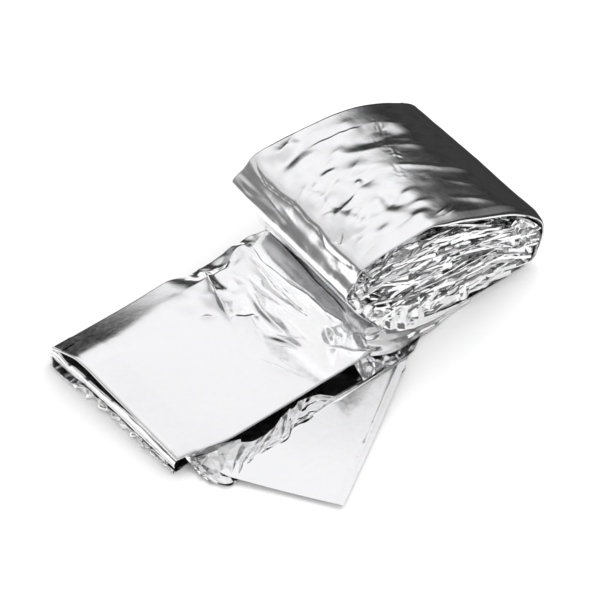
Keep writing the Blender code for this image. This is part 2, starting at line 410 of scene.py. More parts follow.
@dataclass(frozen=True)
class Scatter(Form):
    """Many small creases in one part of a sheet, half of them troughs.

    The box is the lowest and highest place along the sheet, then across it.  The heading is the
    mean one in degrees from the sheet's length, and how far a crease strays from it.
    """

    seed: int
    count: int
    box: tuple[float, float, float, float]
    length: tuple[float, float]
    width: tuple[float, float]
    height: tuple[float, float]
    heading: tuple[float, float] = (0.0, 180.0)
    keen_share: float = 0.6

    def press(self, relief: Relief) -> None:
        """Draw the creases and press each of them.

        Args:
            relief: The sheet's heights.
        """
        rng = np.random.default_rng(self.seed)
        for _ in range(self.count):
            at = np.array((rng.uniform(*self.box[:2]), rng.uniform(*self.box[2:])))
            turn = math.radians(self.heading[0] + self.heading[1] * rng.uniform(-1.0, 1.0))
            half = rng.uniform(*self.length) / 2.0 * np.array((math.cos(turn), math.sin(turn)))
            thin = rng.uniform(*self.width)
            tall = rng.uniform(*self.height) * rng.choice((-1.0, 1.0))
            edge = Edge.SHARP if rng.uniform() < self.keen_share else Edge.SOFT
            ends = (tuple(at - half), tuple(at + half))
            Crease(ends, tall, thin, thin * rng.uniform(0.5, 1.8), edge).press(relief)


@dataclass(frozen=True)
class Crumple(Form):
    """Flat facets between sharp folds, of a usual size, all over a sheet or in a round patch."""

    seed: int
    size: float
    height: float
    at: tuple[float, float] = (0.0, 0.0)
    reach: tuple[float, float] = EVERYWHERE

    def press(self, relief: Relief) -> None:
        """Add the facets to the sheet's heights."""
        amount = self.height * relief.patch(self.at, self.reach)
        relief.height += amount * facets(self.seed, relief.u, relief.v, self.size)


@dataclass(frozen=True)
class Lumps(Form):
    """Round lumps of a usual size, longer along the sheet by the stretch, all over or in a patch."""

    seed: int
    size: float
    height: float
    stretch: float = 1.0
    at: tuple[float, float] = (0.0, 0.0)
    reach: tuple[float, float] = EVERYWHERE

    def press(self, relief: Relief) -> None:
        """Add the lumps to the sheet's heights.

        Args:
            relief: The sheet's heights.
        """
        u = relief.u / (self.size * self.stretch) + self.seed * 3.7
        v = relief.v / self.size + self.seed * 1.3
        relief.height += self.height * relief.patch(self.at, self.reach) * Noise(self.seed).at(u, v)


@dataclass(frozen=True)
class Dent(Form):
    """A soft round hollow."""

    depth: float
    at: tuple[float, float]
    reach: tuple[float, float]

    def press(self, relief: Relief) -> None:
        """Take the hollow out of the sheet's heights."""
        relief.height -= self.depth * relief.patch(self.at, self.reach)


@dataclass(frozen=True)
class Pleats(Form):
    """A zigzag of uneven pleats across the sheet, or along it where they fan.

    A pleat leans by the slant for each millimetre of its length.
    """

    seed: int
    narrow: float
    wide: float
    height: float
    slant: float
    fan: bool = False

    def press(self, relief: Relief) -> None:
        """Fold the sheet's heights in the zigzag.

        Args:
            relief: The sheet's heights.
        """
        rng = np.random.default_rng(self.seed)
        u, v = (relief.v, relief.u) if self.fan else (relief.u, relief.v)
        place = u + self.slant * v
        count = int(np.ptp(place) / self.narrow) + 6
        knots = place.min() - self.wide + np.cumsum(rng.uniform(self.narrow, self.wide, count))
        sign = np.where(np.arange(len(knots)) % 2 == 0, 1.0, -1.0)
        relief.height += self.height * np.interp(place, knots, sign * rng.uniform(0.4, 1.0, len(knots)))


@dataclass
class BandPath:
    """The smooth path of a ply seen from its edge, through a short list of places."""

    points: Sequence[tuple[float, float]]
    samples: int = 48
    probe: float = 0.4
    line: np.ndarray = field(init=False)
    run: np.ndarray = field(init=False)
    control_run: np.ndarray = field(init=False)

    def __post_init__(self) -> None:
        """Sample the curve densely and measure it."""
        knots = np.array(self.points)
        run = distance_along(knots)
        slope = np.gradient(knots, run, axis=0)
        share = np.linspace(0.0, 1.0, self.samples, endpoint=False)[:, None]
        pieces = [hermite(share, knots[index:index + 2], length * slope[index:index + 2])
                  for index, length in enumerate(np.diff(run))]
        self.line = np.concatenate((*pieces, knots[-1:]))
        self.run = distance_along(self.line)
        self.control_run = self.run[:: self.samples]

    def place(self, run: np.ndarray) -> tuple[np.ndarray, np.ndarray]:
        """x and z at some distances along the path."""
        return np.interp(run, self.run, self.line[:, 0]), np.interp(run, self.run, self.line[:, 1])

    def at(self, run: np.ndarray) -> tuple[np.ndarray, np.ndarray, np.ndarray, np.ndarray]:
        """Places along the path.

        Args:
            run: Distances along it.

        Returns:
            x, z, and the normal to the left of the path as two more arrays.
        """
        x, z = self.place(run)
        dx, dz = np.subtract(self.place(run + self.probe), self.place(run - self.probe))
        size = np.maximum(np.hypot(dx, dz), 1e-9)
        return x, z, -dz / size, dx / size

    def run_at_x(self, x: float, low: float, high: float) -> float:
        """How far along the path it reaches x.

        Args:
            x: The place to reach.
            low: A distance along the path before it.
            high: One after it, with x only growing or only shrinking in between.

        Returns:
            The distance along the path.
        """
        inside = (self.run >= low) & (self.run <= high)
        places, runs = self.line[inside, 0], self.run[inside]
        order = np.argsort(places)
        return float(np.interp(x, places[order], runs[order]))


@dataclass
class RollShape:
    """The band's path round the roll, seen at its front edge and at its back edge.

    The band starts first_turn from the foot and ends at last_turn.  Its first turn keeps to the
    section's outline and the others run in towards the core, which they would reach after `turns`.
    """

    first_turn: float
    last_turn: float
    turns: float
    front: BandPath = field(init=False)
    back: BandPath = field(init=False)

    def __post_init__(self) -> None:
        """Lay both paths through the section's own places, turn by turn."""
        rows = [dict(zip(SECTION_COLUMNS, row)) for row in SECTION]
        count = len(rows)
        front, back = [], []
        for step in range(round(self.first_turn * count), round(self.last_turn * count) + 1):
            row = rows[step % count]
            inward = (max(0.0, step / count - LEAD) / (self.turns - LEAD)) ** SLACK
            for path, x, z in ((front, row["x"], row["z"]), (back, row["back_x"], row["back_z"])):
                path.append((x + (row["core_x"] - x) * inward, z + (row["core_z"] - z) * inward))
        self.front, self.back = BandPath(front), BandPath(back)

    def turn_at(self, along: np.ndarray) -> np.ndarray:
        """How many turns from the foot the band has made, for distances along its front edge."""
        steps = np.interp(along, self.front.control_run, np.arange(len(self.front.control_run)))
        return self.first_turn + steps / len(SECTION)

    def surface(self, along: np.ndarray, across: np.ndarray, inward: np.ndarray) -> np.ndarray:
        """Places on the band.

        Args:
            along: Distances along the front edge, one a row.
            across: Places across the band, rows by columns.
            inward: How far each place lies inside the path, rows by columns.

        Returns:
            A grid of places in the band's axes.
        """
        step = np.interp(along, self.front.run, np.arange(len(self.front.run)))
        back_run = np.interp(step, np.arange(len(self.back.run)), self.back.run)
        share = np.clip((across + HALF_BAND) / BAND_WIDTH, 0.0, 1.0)
        mixed = [front[:, None] * (1.0 - share) + back[:, None] * share
                 for front, back in zip(self.front.at(along), self.back.at(back_run))]
        x, z, normal_x, normal_z = mixed
        return np.stack((x + normal_x * inward, across, z + normal_z * inward), axis=-1)


@dataclass(frozen=True)
class PlySection:
    """A folded ply across the band: its face, two turned edges, and the lips behind them."""

    half: float = HALF_BAND
    edge_radius: float = 0.7
    lip: float = 6.0
    cell: float = 0.65
    edge_cells: int = 6
    lip_cell: float = 1.2

    def columns(self) -> tuple[np.ndarray, np.ndarray, np.ndarray]:
        """The section, column by column from the lip behind the front edge to the one at the back.

        Returns:
            The place across, how far behind the face it lies, and the place measured on the film.
        """
        inner = self.half - self.edge_radius
        lip = np.arange(inner - self.lip, inner, self.lip_cell)
        turn = np.linspace(-np.pi / 2.0, np.pi / 2.0, self.edge_cells + 1)[:-1]
        face = np.linspace(-inner, inner, int(2.0 * inner / self.cell) + 1)
        edge_y = inner + self.edge_radius * np.cos(turn)
        edge_in = self.edge_radius * (1.0 - np.sin(turn))
        across = np.concatenate((-lip, -edge_y, face, edge_y[::-1], lip[::-1]))
        behind = np.concatenate((np.full(len(lip), 2.0 * self.edge_radius), edge_in, np.zeros(len(face)),
                                 edge_in[::-1], np.full(len(lip), 2.0 * self.edge_radius)))
        film = distance_along(np.stack((across, behind), axis=-1))
        return across, behind, film - film[-1] / 2.0


def film_object(name: str, grid: np.ndarray, film: tuple[np.ndarray, np.ndarray], layout: Layout,
                flip: bool = False, shade_smooth: bool = True) -> bpy.types.Object:
    """A sheet of film from a grid of places.

    Args:
        name: The object's name.
        grid: Places in millimetres, rows by columns by three.
        film: Where each row and each column lies on the flat film, for the UV map.
        layout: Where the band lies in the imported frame.
        flip: Whether to turn the faces the other way.
        shade_smooth: Whether the facets run into one another.

    Returns:
        The new object, linked to the scene.
    """
    rows, columns = grid.shape[:2]
    index = np.arange(rows * columns).reshape(rows, columns)
    corners = [index[:-1, :-1], index[1:, :-1], index[1:, 1:], index[:-1, 1:]]
    faces = np.stack(corners[::-1] if flip else corners, axis=-1).reshape(-1, 4)
    mesh = bpy.data.meshes.new(name)
    mesh.vertices.add(rows * columns)
    mesh.vertices.foreach_set("co", layout.place(grid.reshape(-1, 3)).ravel())
    mesh.loops.add(faces.size)
    mesh.loops.foreach_set("vertex_index", faces.ravel())
    mesh.polygons.add(len(faces))
    mesh.polygons.foreach_set("loop_start", np.arange(0, faces.size, 4))
    mesh.polygons.foreach_set("use_smooth", np.full(len(faces), shade_smooth))
    u, v = np.meshgrid(film[0] * MM, film[1] * MM, indexing="ij")
    places = np.stack((u.ravel(), v.ravel()), axis=-1)[faces.ravel()]
    mesh.uv_layers.new(name="film").data.foreach_set("uv", places.ravel())
    mesh.update(calc_edges=True)
    mesh.validate()
    thing = bpy.data.objects.new(name, mesh)
    spans = [np.linalg.norm(np.diff(grid, axis=axis), axis=2).sum(axis=axis) * MM for axis in (1, 0)]
    thing[UNROLLED] = [float(spans[0].max()), float(spans[1].max()),
                       float(spans[0].mean() * spans[1].mean())]
    bpy.context.scene.collection.objects.link(thing)
    return thing


@dataclass(frozen=True)
class FilmFinish:
    """Bright metallised film with fine handling marks."""

    name: str = "silver_film"
    tone: tuple[float, float, float, float] = (0.93, 0.93, 0.935, 1.0)
    roughness: tuple[float, float] = (0.10, 0.19)
    marks_scale: float = 420.0
    marks_depth: float = 0.35
    marks_height: float = 0.00010
    crease_scale: float = 0.22

    def marks(self) -> bpy.types.ShaderNodeTree:
        """The handling marks: a fine ripple crossed by faint creases.

        Returns:
            A node group with Vector and Scale in, and Height and Roughness out.
        """
        group, given, end = new_group("handling_marks", "ShaderNodeTree",
                                      {"Vector": "Vector", "Scale": "Float"},
                                      {"Height": "Float", "Roughness": "Float"})
        ripple = add_node(group, "ShaderNodeTexNoise", {"Vector": given["Vector"], "Scale": given["Scale"],
                                                        "Detail": 3.0, "Roughness": 0.45})
        coarse = add_node(group, "ShaderNodeMath", {0: given["Scale"], 1: self.crease_scale},
                          operation="MULTIPLY")
        fold = add_node(group, "ShaderNodeTexVoronoi", {"Vector": given["Vector"], "Scale": coarse},
                        feature="DISTANCE_TO_EDGE")
        crest = add_node(group, "ShaderNodeMapRange", {"Value": fold.outputs["Distance"], "From Max": 0.25,
                                                       "To Min": 0.5, "To Max": 0.0})
        worn = add_node(group, "ShaderNodeMapRange", {"Value": ripple.outputs["Fac"], "From Min": 0.3,
                                                      "From Max": 0.7, "To Min": self.roughness[0],
                                                      "To Max": self.roughness[1]})
        total = add_node(group, "ShaderNodeMath", {0: ripple.outputs["Fac"], 1: crest}, operation="ADD")
        feed(end, {"Height": total, "Roughness": worn})
        return group

    def material(self) -> bpy.types.Material:
        """Build the material.

        Returns:
            A metallic material with the marks in its bump and its roughness.
        """
        material = bpy.data.materials.new(self.name)
        material.use_nodes = True
        tree = material.node_tree
        place = add_node(tree, "ShaderNodeTexCoord")
        marks = add_node(tree, "ShaderNodeGroup")
        marks.node_tree = self.marks()
        feed(marks, {"Vector": place.outputs["Object"], "Scale": self.marks_scale})
        bump = add_node(tree, "ShaderNodeBump", {"Strength": self.marks_depth, "Distance": self.marks_height,
                                                 "Height": marks.outputs["Height"]})
        feed(tree.nodes["Principled BSDF"], {"Base Color": self.tone, "Metallic": 1.0,
                                             "Roughness": marks.outputs["Roughness"], "Normal": bump})
        return material


def surface_normals(grid: np.ndarray) -> np.ndarray:
    """Unit normals of a grid of places, row direction crossed with column direction."""
    normal = np.cross(np.gradient(grid, axis=0), np.gradient(grid, axis=1))
    return normal / np.maximum(np.linalg.norm(normal, axis=2, keepdims=True), 1e-9)


@dataclass
class TailPly:
    """The upper ply of the loose end, from its fold to under the roll.

    Its path goes round the fold, with x from the band's end and z from TAIL_Z, then over a long low
    hump, and then down under the roll.  The puff is how far its middle stands above that path.  It
    rises from the back over a strip that narrows towards the roll, where the back edge is tucked
    under.
    """

    name: str = "tail_ply"
    cell: float = 0.6
    fold: tuple[tuple[float, float], ...] = ((12.0, -0.1), (3.0, -0.1), (0.8, 0.0), (0.3, 0.35), (0.9, 0.75),
                                             (4.0, 0.8))
    hump: float = 1.6
    hump_rise: tuple[float, float] = (-60.0, -10.0)
    under_roll: tuple[tuple[float, float], ...] = ((11.8, 9.7), (14.2, 9.3), (26.5, 6.1), (29.0, 5.8),
                                                   (34.0, 5.8), (42.0, 5.2), (58.0, 3.6))
    puff: float = 6.2
    puff_end: float = -8.0
    puff_length: float = 80.0
    front_fall: float = 74.0
    strip: float = 21.0
    strip_loss: float = 6.0
    strip_climb: float = 1.15
    strip_sharpness: float = 12.0
    tuck_rise: tuple[float, float] = (-36.0, -16.0)
    tuck_fall: tuple[float, float] = (12.0, 22.0)
    tuck_reach: tuple[float, float] = (12.0, 5.0)
    tuck_slope: float = 0.40
    raised: float = 1.3
    raised_fall: tuple[float, float] = (20.0, 46.0)
    set_back: float = 1.0
    set_back_until: float = -95.0
    front_bulge: float = 5.0
    bulge_rise: tuple[float, float] = (TAIL_END_X, -74.0)
    bulge_fall: tuple[float, float] = (8.0, 31.0)
    forms: tuple[Form, ...] = (
        Lumps(11, 42.0, 0.5),
        Lumps(12, 12.0, 0.05),
        Crease(((-13.5, 46.0), (-15.1, 42.1), (-18.7, 33.1), (-22.3, 24.0), (-25.3, 14.4), (-28.9, 2.4)),
               0.8, 0.7, 0.7, fades=(0.1, 0.4)),
        Crease(((-13.5, 46.0), (-18.2, 33.1), (-21.8, 24.0), (-24.8, 14.4), (-28.4, 2.4)),
               1.5, 3.2, 2.6, Edge.SOFT, (0.1, 0.4)),
        Crease(((-16.0, 36.0), (-18.6, 24.0), (-20.6, 10.0)), 1.5, 6.0, 4.5, Edge.SOFT),
        Crease(((-35.0, 40.0), (-38.0, 28.0), (-40.0, 20.0)), 0.9, 6.0, 7.0, Edge.SOFT),
        Crease(((-5.4, 24.7), (-7.8, 14.4), (-10.8, 4.2), (-11.4, -5.4), (-11.4, -14.4), (-10.0, -20.0)),
               1.8, 3.2, 1.4, Edge.SOFT),
        Crease(((-2.6, 24.0), (-5.4, 12.0), (-8.6, 3.0), (-9.0, -8.0)), -1.2, 1.2, 1.0),
        Crease(((-12.7, 2.4), (-20.5, 5.4), (-24.7, 10.2)), 1.1, 8.0, 2.4, Edge.STEP, (0.35, 0.35)),
        Crease(((-40.4, 19.2), (-35.0, 17.4), (-30.1, 13.2)), 0.8, 1.4, 2.6),
        Crease(((-18.1, -2.4), (-19.9, -10.2), (-17.5, -13.8), (-13.9, -20.4), (-11.4, -28.9)),
               1.3, 2.4, 1.2, Edge.SOFT),
        Crease(((-16.3, -13.8), (-10.6, -18.6), (-4.8, -22.8)), 0.5, 0.6, 1.0),
        Crease(((-28.9, 40.0), (-26.0, 26.0), (-27.0, 14.0)), 1.2, 5.0, 4.0, Edge.SOFT),
        Crease(((-16.9, -28.9), (-13.9, -13.8), (-14.5, -1.2), (-12.1, 9.6)), 0.3, 4.0, 3.0, Edge.SOFT),
        Crease(((3.6, -1.2), (3.6, 11.4), (7.9, 32.5)), 0.6, 3.0, 0.5, Edge.STEP, (0.4, 0.3)),
        Crease(((5.4, -10.8), (4.8, -2.4), (5.4, 9.6), (8.5, 27.1), (10.3, 39.7)), 0.9, 3.0, 0.6,
               Edge.STEP, (0.2, 0.2)),
        Crease(((0.6, 34.0), (-1.0, 20.0), (-0.6, 6.0), (1.0, -6.0)), 0.4, 0.7, 0.7),
        Crease(((9.0, 38.0), (8.0, 22.0), (8.6, 6.0), (9.6, -10.0)), 0.4, 0.6, 0.6),
        Crease(((16.9, -28.9), (13.9, -13.8), (14.5, -1.2), (12.1, 9.6), (12.1, 20.4), (11.5, 30.7),
                (15.7, 44.5)), 0.8, 3.0, 0.6, Edge.STEP, (0.05, 0.05)),
        Crease(((15.0, -18.0), (17.4, -2.0), (15.6, 14.0)), 0.3, 0.8, 0.8),
        Crease(((22.3, -23.4), (24.7, -12.6), (25.9, 4.8), (28.6, 20.0), (30.6, 37.0), (30.7, 50.0)),
               0.7, 1.4, 0.6, Edge.SHARP, (0.1, 0.05)),
        Crease(((19.5, -31.0), (14.0, -36.0), (9.0, -44.0)), 0.5, 0.6, 1.0),
        Crease(((20.5, -33.0), (17.5, -40.0), (15.0, -50.0)), 0.5, 0.6, 1.0),
        Crease(((18.0, -30.0), (11.5, -34.0), (5.5, -38.5)), 0.4, 0.5, 0.9),
        Crease(((12.4, -50.0), (6.1, -44.5), (3.0, -38.6), (-2.4, -34.0)), 1.1, 6.0, 2.4, Edge.STEP,
               (0.0, 0.25)),
        Crease(((-36.8, -12.6), (-32.6, -21.0), (-28.3, -33.7), (-25.3, -39.7), (-22.0, -47.0)),
               0.34, 1.4, 3.2),
        Crease(((-26.5, -21.6), (-22.3, -39.7)), 0.14, 1.4, 2.4),
        Crease(((-52.0, 30.0), (-42.0, 8.0), (-36.0, -20.0)), 0.12, 2.5, 4.0),
        Crumple(13, 8.0, 0.8, (-5.0, 44.0), (22.0, 11.0)),
        Crumple(14, 3.0, 0.60, (6.5, -29.0), (7.0, 8.0)),
        Crumple(15, 2.2, 0.25, (5.4, -7.0), (3.5, 8.0)),
        Crumple(16, 5.0, 0.22, (16.0, -42.0), (12.0, 12.0)),
        Lumps(17, 10.0, 1.1, at=(-16.0, 28.0), reach=(20.0, 24.0)),
        Scatter(18, 26, (-6.0, 14.0, -26.0, 42.0), (8.0, 26.0), (0.3, 0.7), (0.08, 0.26), (90.0, 12.0)),
        Scatter(19, 60, (-100.0, 0.0, -48.0, 48.0), (3.0, 12.0), (0.4, 1.4), (0.01, 0.06)),
    )

    def path(self) -> BandPath:
        """The ply's middle line, seen from its edge.

        Returns:
            The path from inside the fold to under the roll.
        """
        fold = [(TAIL_END_X + x, TAIL_Z + z) for x, z in self.fold]
        flat = np.arange(TAIL_END_X + 11.0, 8.0, 9.0)
        top = fold[-1][1] + self.hump * smooth(*self.hump_rise, flat)
        return BandPath([*fold, *zip(flat, top), *self.under_roll])

    def fullness(self, x: np.ndarray, y: np.ndarray) -> np.ndarray:
        """How full the puffed ply is.

        Args:
            x: Places along the band.
            y: Places across it.

        Returns:
            0 at the ply's edges to 1 over its middle.
        """
        strip = self.strip - self.strip_loss * (smooth(-94.0, -28.0, x) + smooth(-28.0, -8.0, x))
        climb = self.strip_climb * (HALF_BAND - y) / strip
        back = -np.logaddexp(-self.strip_sharpness * climb, -self.strip_sharpness) / self.strip_sharpness
        return back * np.clip((y + HALF_BAND + 2.0) / self.front_fall, 0.0, 1.0)

    def lift(self, x: np.ndarray, y: np.ndarray) -> np.ndarray:
        """How far the puffed ply stands above its path.

        Args:
            x: Places along the band.
            y: Places across it.

        Returns:
            The height at each place.
        """
        puff = self.puff * np.clip((self.puff_end - x) / self.puff_length, 0.0, 1.0) * self.fullness(x, y)
        wide, slim = self.tuck_reach
        reach = wide + (slim - wide) * smooth(-6.0, 8.0, x)
        edge = 1.0 - np.clip((HALF_BAND - y) / reach, 0.0, 1.0)
        tuck = self.tuck_slope * (reach + 1.0) * edge * window(self.tuck_rise, self.tuck_fall, x)
        return puff + self.raised * (1.0 - smooth(*self.raised_fall, x)) - tuck

    def build(self, layout: Layout) -> bpy.types.Object:
        """Build the ply.

        Args:
            layout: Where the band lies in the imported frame.

        Returns:
            The new object.
        """
        path = self.path()
        along = np.linspace(0.0, path.run[-1], int(path.run[-1] / self.cell))
        across, behind, film = PlySection(cell=self.cell).columns()
        x, z, normal_x, normal_z = path.at(along)
        relief = Relief(along - path.run_at_x(0.0, path.run[-1] * 0.3, path.run[-1]), film)
        relief.add(*self.forms)
        xs, ys = np.meshgrid(x, across, indexing="ij")
        rise = relief.height - behind
        lift = self.lift(xs, ys)
        back = self.set_back * self.fullness(xs, ys) * (1.0 - smooth(TAIL_END_X, self.set_back_until, xs))
        belly = self.front_bulge * window(self.bulge_rise, self.bulge_fall, xs)
        grid = np.stack((xs + back + normal_x[:, None] * rise, ys - belly * (1.0 - ys / HALF_BAND) / 2.0,
                         z[:, None] + normal_z[:, None] * rise + lift), axis=-1)
        return film_object(self.name, grid, (along, film), layout)


@dataclass
class RollWrap:
    """The outermost ply of the roll.

    Its rim is the stretch from the roll's far end to its peak, in shares of a turn from the foot,
    where the front edge is pressed in.
    """

    name: str = "roll_wrap"
    cell: float = 0.62
    hidden_cell: float = 3.0
    shows_from: float = 108.0
    lowest: float = 0.1
    edge_radius: float = 1.2
    edge_depth: float = 0.45
    rim_rise: tuple[float, float] = (0.33, 0.38)
    rim_fall: tuple[float, float] = (0.54, 0.58)
    rim_depth: float = 1.2
    rim_edge_depth: float = 0.95
    slow_lumps: Lumps = Lumps(21, 30.0, 0.6)
    nose_start: tuple[float, float] = (214.0, 222.0)
    nose_smooth: float = 0.8
    forms: tuple[Form, ...] = (
        Lumps(22, 9.0, 0.22, stretch=3.0),
        Crease(((187.0, 35.4), (176.0, 35.7), (162.4, 35.1), (143.2, 33.3)), 0.5, 5.0, 0.5, Edge.STEP,
               (0.4, 0.3)),
        Crease(((194.1, 41.3), (179.8, 43.8)), 0.35, 2.5, 2.0, Edge.SOFT),
        Crease(((197.2, 12.7), (188.0, 14.6), (178.6, 15.2)), 0.5, 1.8, 1.4, Edge.SOFT),
        Crease(((191.0, 11.5), (177.3, 8.4), (162.4, 9.0)), 0.40, 5.0, 4.0, Edge.SOFT),
        Crease(((183.5, -2.2), (175.5, 0.9)), 0.5, 1.4, 1.2, Edge.SOFT),
        Crease(((209.0, -11.3), (196.5, -10.3), (181.0, -5.3)), 0.8, 1.8, 1.0, fades=(0.5, 0.4)),
        Crease(((215.0, -9.0), (205.2, -9.0)), 0.35, 1.8, 1.4, Edge.SOFT),
        Crease(((207.0, -31.0), (198.0, -26.0), (189.1, -20.8)), 0.7, 3.2, 2.2, Edge.SOFT),
        Crease(((204.0, -21.0), (198.0, -16.0), (190.0, -14.0)), 0.4, 2.6, 2.0, Edge.SOFT),
        Crease(((217.0, -27.8), (213.0, -25.6), (208.9, -22.1)), -1.2, 1.4, 1.8, fades=(0.15, 0.9)),
        Crease(((174.8, -23.9), (165.0, -21.0), (154.4, -19.6)), 0.5, 2.8, 2.0, Edge.SOFT),
        Crease(((174.2, -30.8), (164.0, -30.6), (154.4, -31.4)), 0.4, 2.4, 1.9, Edge.SOFT),
        Crease(((179.2, -38.9), (170.0, -38.4), (162.4, -37.6)), 0.35, 2.2, 1.8, Edge.SOFT),
        Crease(((166.0, -44.0), (158.0, -42.0), (150.0, -38.0)), 0.6, 1.2, 0.8, Edge.SOFT),
        Crease(((161.0, -46.0), (153.0, -44.0), (146.0, -40.0)), 0.5, 1.1, 0.8, Edge.SOFT),
        Crease(((136.4, 33.3), (118.0, 31.0), (99.8, 28.9)), 0.35, 1.8, 1.2, Edge.SOFT),
        Crease(((146.0, 22.0), (132.0, 19.0), (121.0, 18.0)), 0.4, 2.2, 1.5, Edge.SOFT),
        Crease(((143.2, 14.0), (130.0, 12.0), (118.4, 10.9)), 0.7, 2.6, 1.6, Edge.SOFT),
        Crease(((156.2, 0.3), (130.8, -9.0), (104.0, -15.0)), 0.7, 2.4, 1.3, Edge.SOFT, (0.2, 0.3)),
        Crease(((140.0, -17.0), (126.0, -24.0), (112.0, -28.0)), 0.4, 2.2, 1.6, Edge.SOFT),
        Crease(((148.0, -33.0), (133.0, -37.0), (117.2, -42.0)), 0.7, 2.2, 1.6, Edge.SOFT),
        Crease(((218.9, -46.3), (221.0, -37.0), (221.6, -30.0), (221.8, -22.7), (219.4, -17.0),
                (218.2, -11.5), (218.9, -3.4), (218.2, 6.5), (219.5, 16.5), (221.3, 32.0), (219.5, 41.3),
                (216.4, 48.8)), -0.4, 0.6, 0.45, fades=(0.03, 0.03)),
        Scatter(31, 26, (219.0, 236.0, -46.0, 46.0), (10.0, 34.0), (0.8, 2.4), (0.06, 0.22), (90.0, 8.0)),
        Dent(1.7, (146.0, 25.0), (27.0, 10.0)),
        Scatter(23, 54, (172.0, 214.0, -46.0, 46.0), (12.0, 32.0), (2.4, 5.5), (0.35, 0.95), (-18.0, 16.0)),
        Scatter(26, 22, (150.0, 176.0, -46.0, 46.0), (10.0, 26.0), (2.4, 5.0), (0.06, 0.22), (-6.0, 16.0)),
        Scatter(24, 30, (96.0, 150.0, -46.0, 46.0), (8.0, 30.0), (1.2, 3.0), (0.04, 0.22), (-3.0, 12.0)),
        Crumple(25, 2.6, 0.12, (138.0, 30.0), (4.0, 10.0)),
        Crumple(26, 2.6, 0.14, (148.0, 12.0), (4.5, 14.0)),
        Crumple(27, 2.6, 0.10, (157.0, -5.0), (4.5, 8.0)),
        Crumple(28, 6.0, 0.22, (226.0, -36.0), (8.0, 12.0)),
    )

    def build(self, layout: Layout) -> bpy.types.Object:
        """Build the ply.

        Args:
            layout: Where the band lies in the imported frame.

        Returns:
            The new object.
        """
        shape = RollShape(first_turn=0.10, last_turn=1.10, turns=8.0)
        path = shape.front
        shows_from = path.run_at_x(self.shows_from, 0.0, path.run[-1] * 0.25)
        along = np.concatenate((np.arange(0.0, shows_from, self.hidden_cell),
                                np.arange(shows_from, path.run[-1], self.cell)))
        across, behind, film = PlySection(cell=self.cell, edge_radius=self.edge_radius).columns()
        relief = Relief(along, film)
        relief.add(self.slow_lumps)
        relief.height *= (1.0 - self.nose_smooth * smooth(*self.nose_start, along))[:, None]
        relief.add(*self.forms)
        rim = window(self.rim_rise, self.rim_fall, shape.turn_at(along)[:, None])
        relief.height -= self.rim_depth * rim * smooth(-45.5, -50.5, film)
        inward = behind * (self.edge_depth + self.rim_edge_depth * rim) - PLY_HALF - relief.height
        grid = shape.surface(along, np.tile(across, (len(along), 1)), inward)
        grid[:, :, 2] = np.maximum(grid[:, :, 2], self.lowest)
        return film_object(self.name, grid, (along, film), layout, flip=True)


@dataclass(frozen=True)
class Kinks:
    """Uneven heights that run straight from kink to kink, with gaps between two lengths."""

    shortest: float
    longest: float
    spread: float

    def draw(self, rng: np.random.Generator, along: np.ndarray, count: int = 1) -> np.ndarray:
        """Draw some lines of it.

        Args:
            rng: Source of the unevenness.
            along: Places to read it at.
            count: How many lines of it, side by side.

        Returns:
            One column for each line.
        """
        number = int(along[-1] / self.shortest) + 4
        kinks = np.cumsum(rng.uniform(self.shortest, self.longest, number)) - self.longest
        values = rng.normal(0.0, self.spread, (number, count))
        return np.stack([np.interp(along, kinks, values[:, line]) for line in range(count)], axis=1)


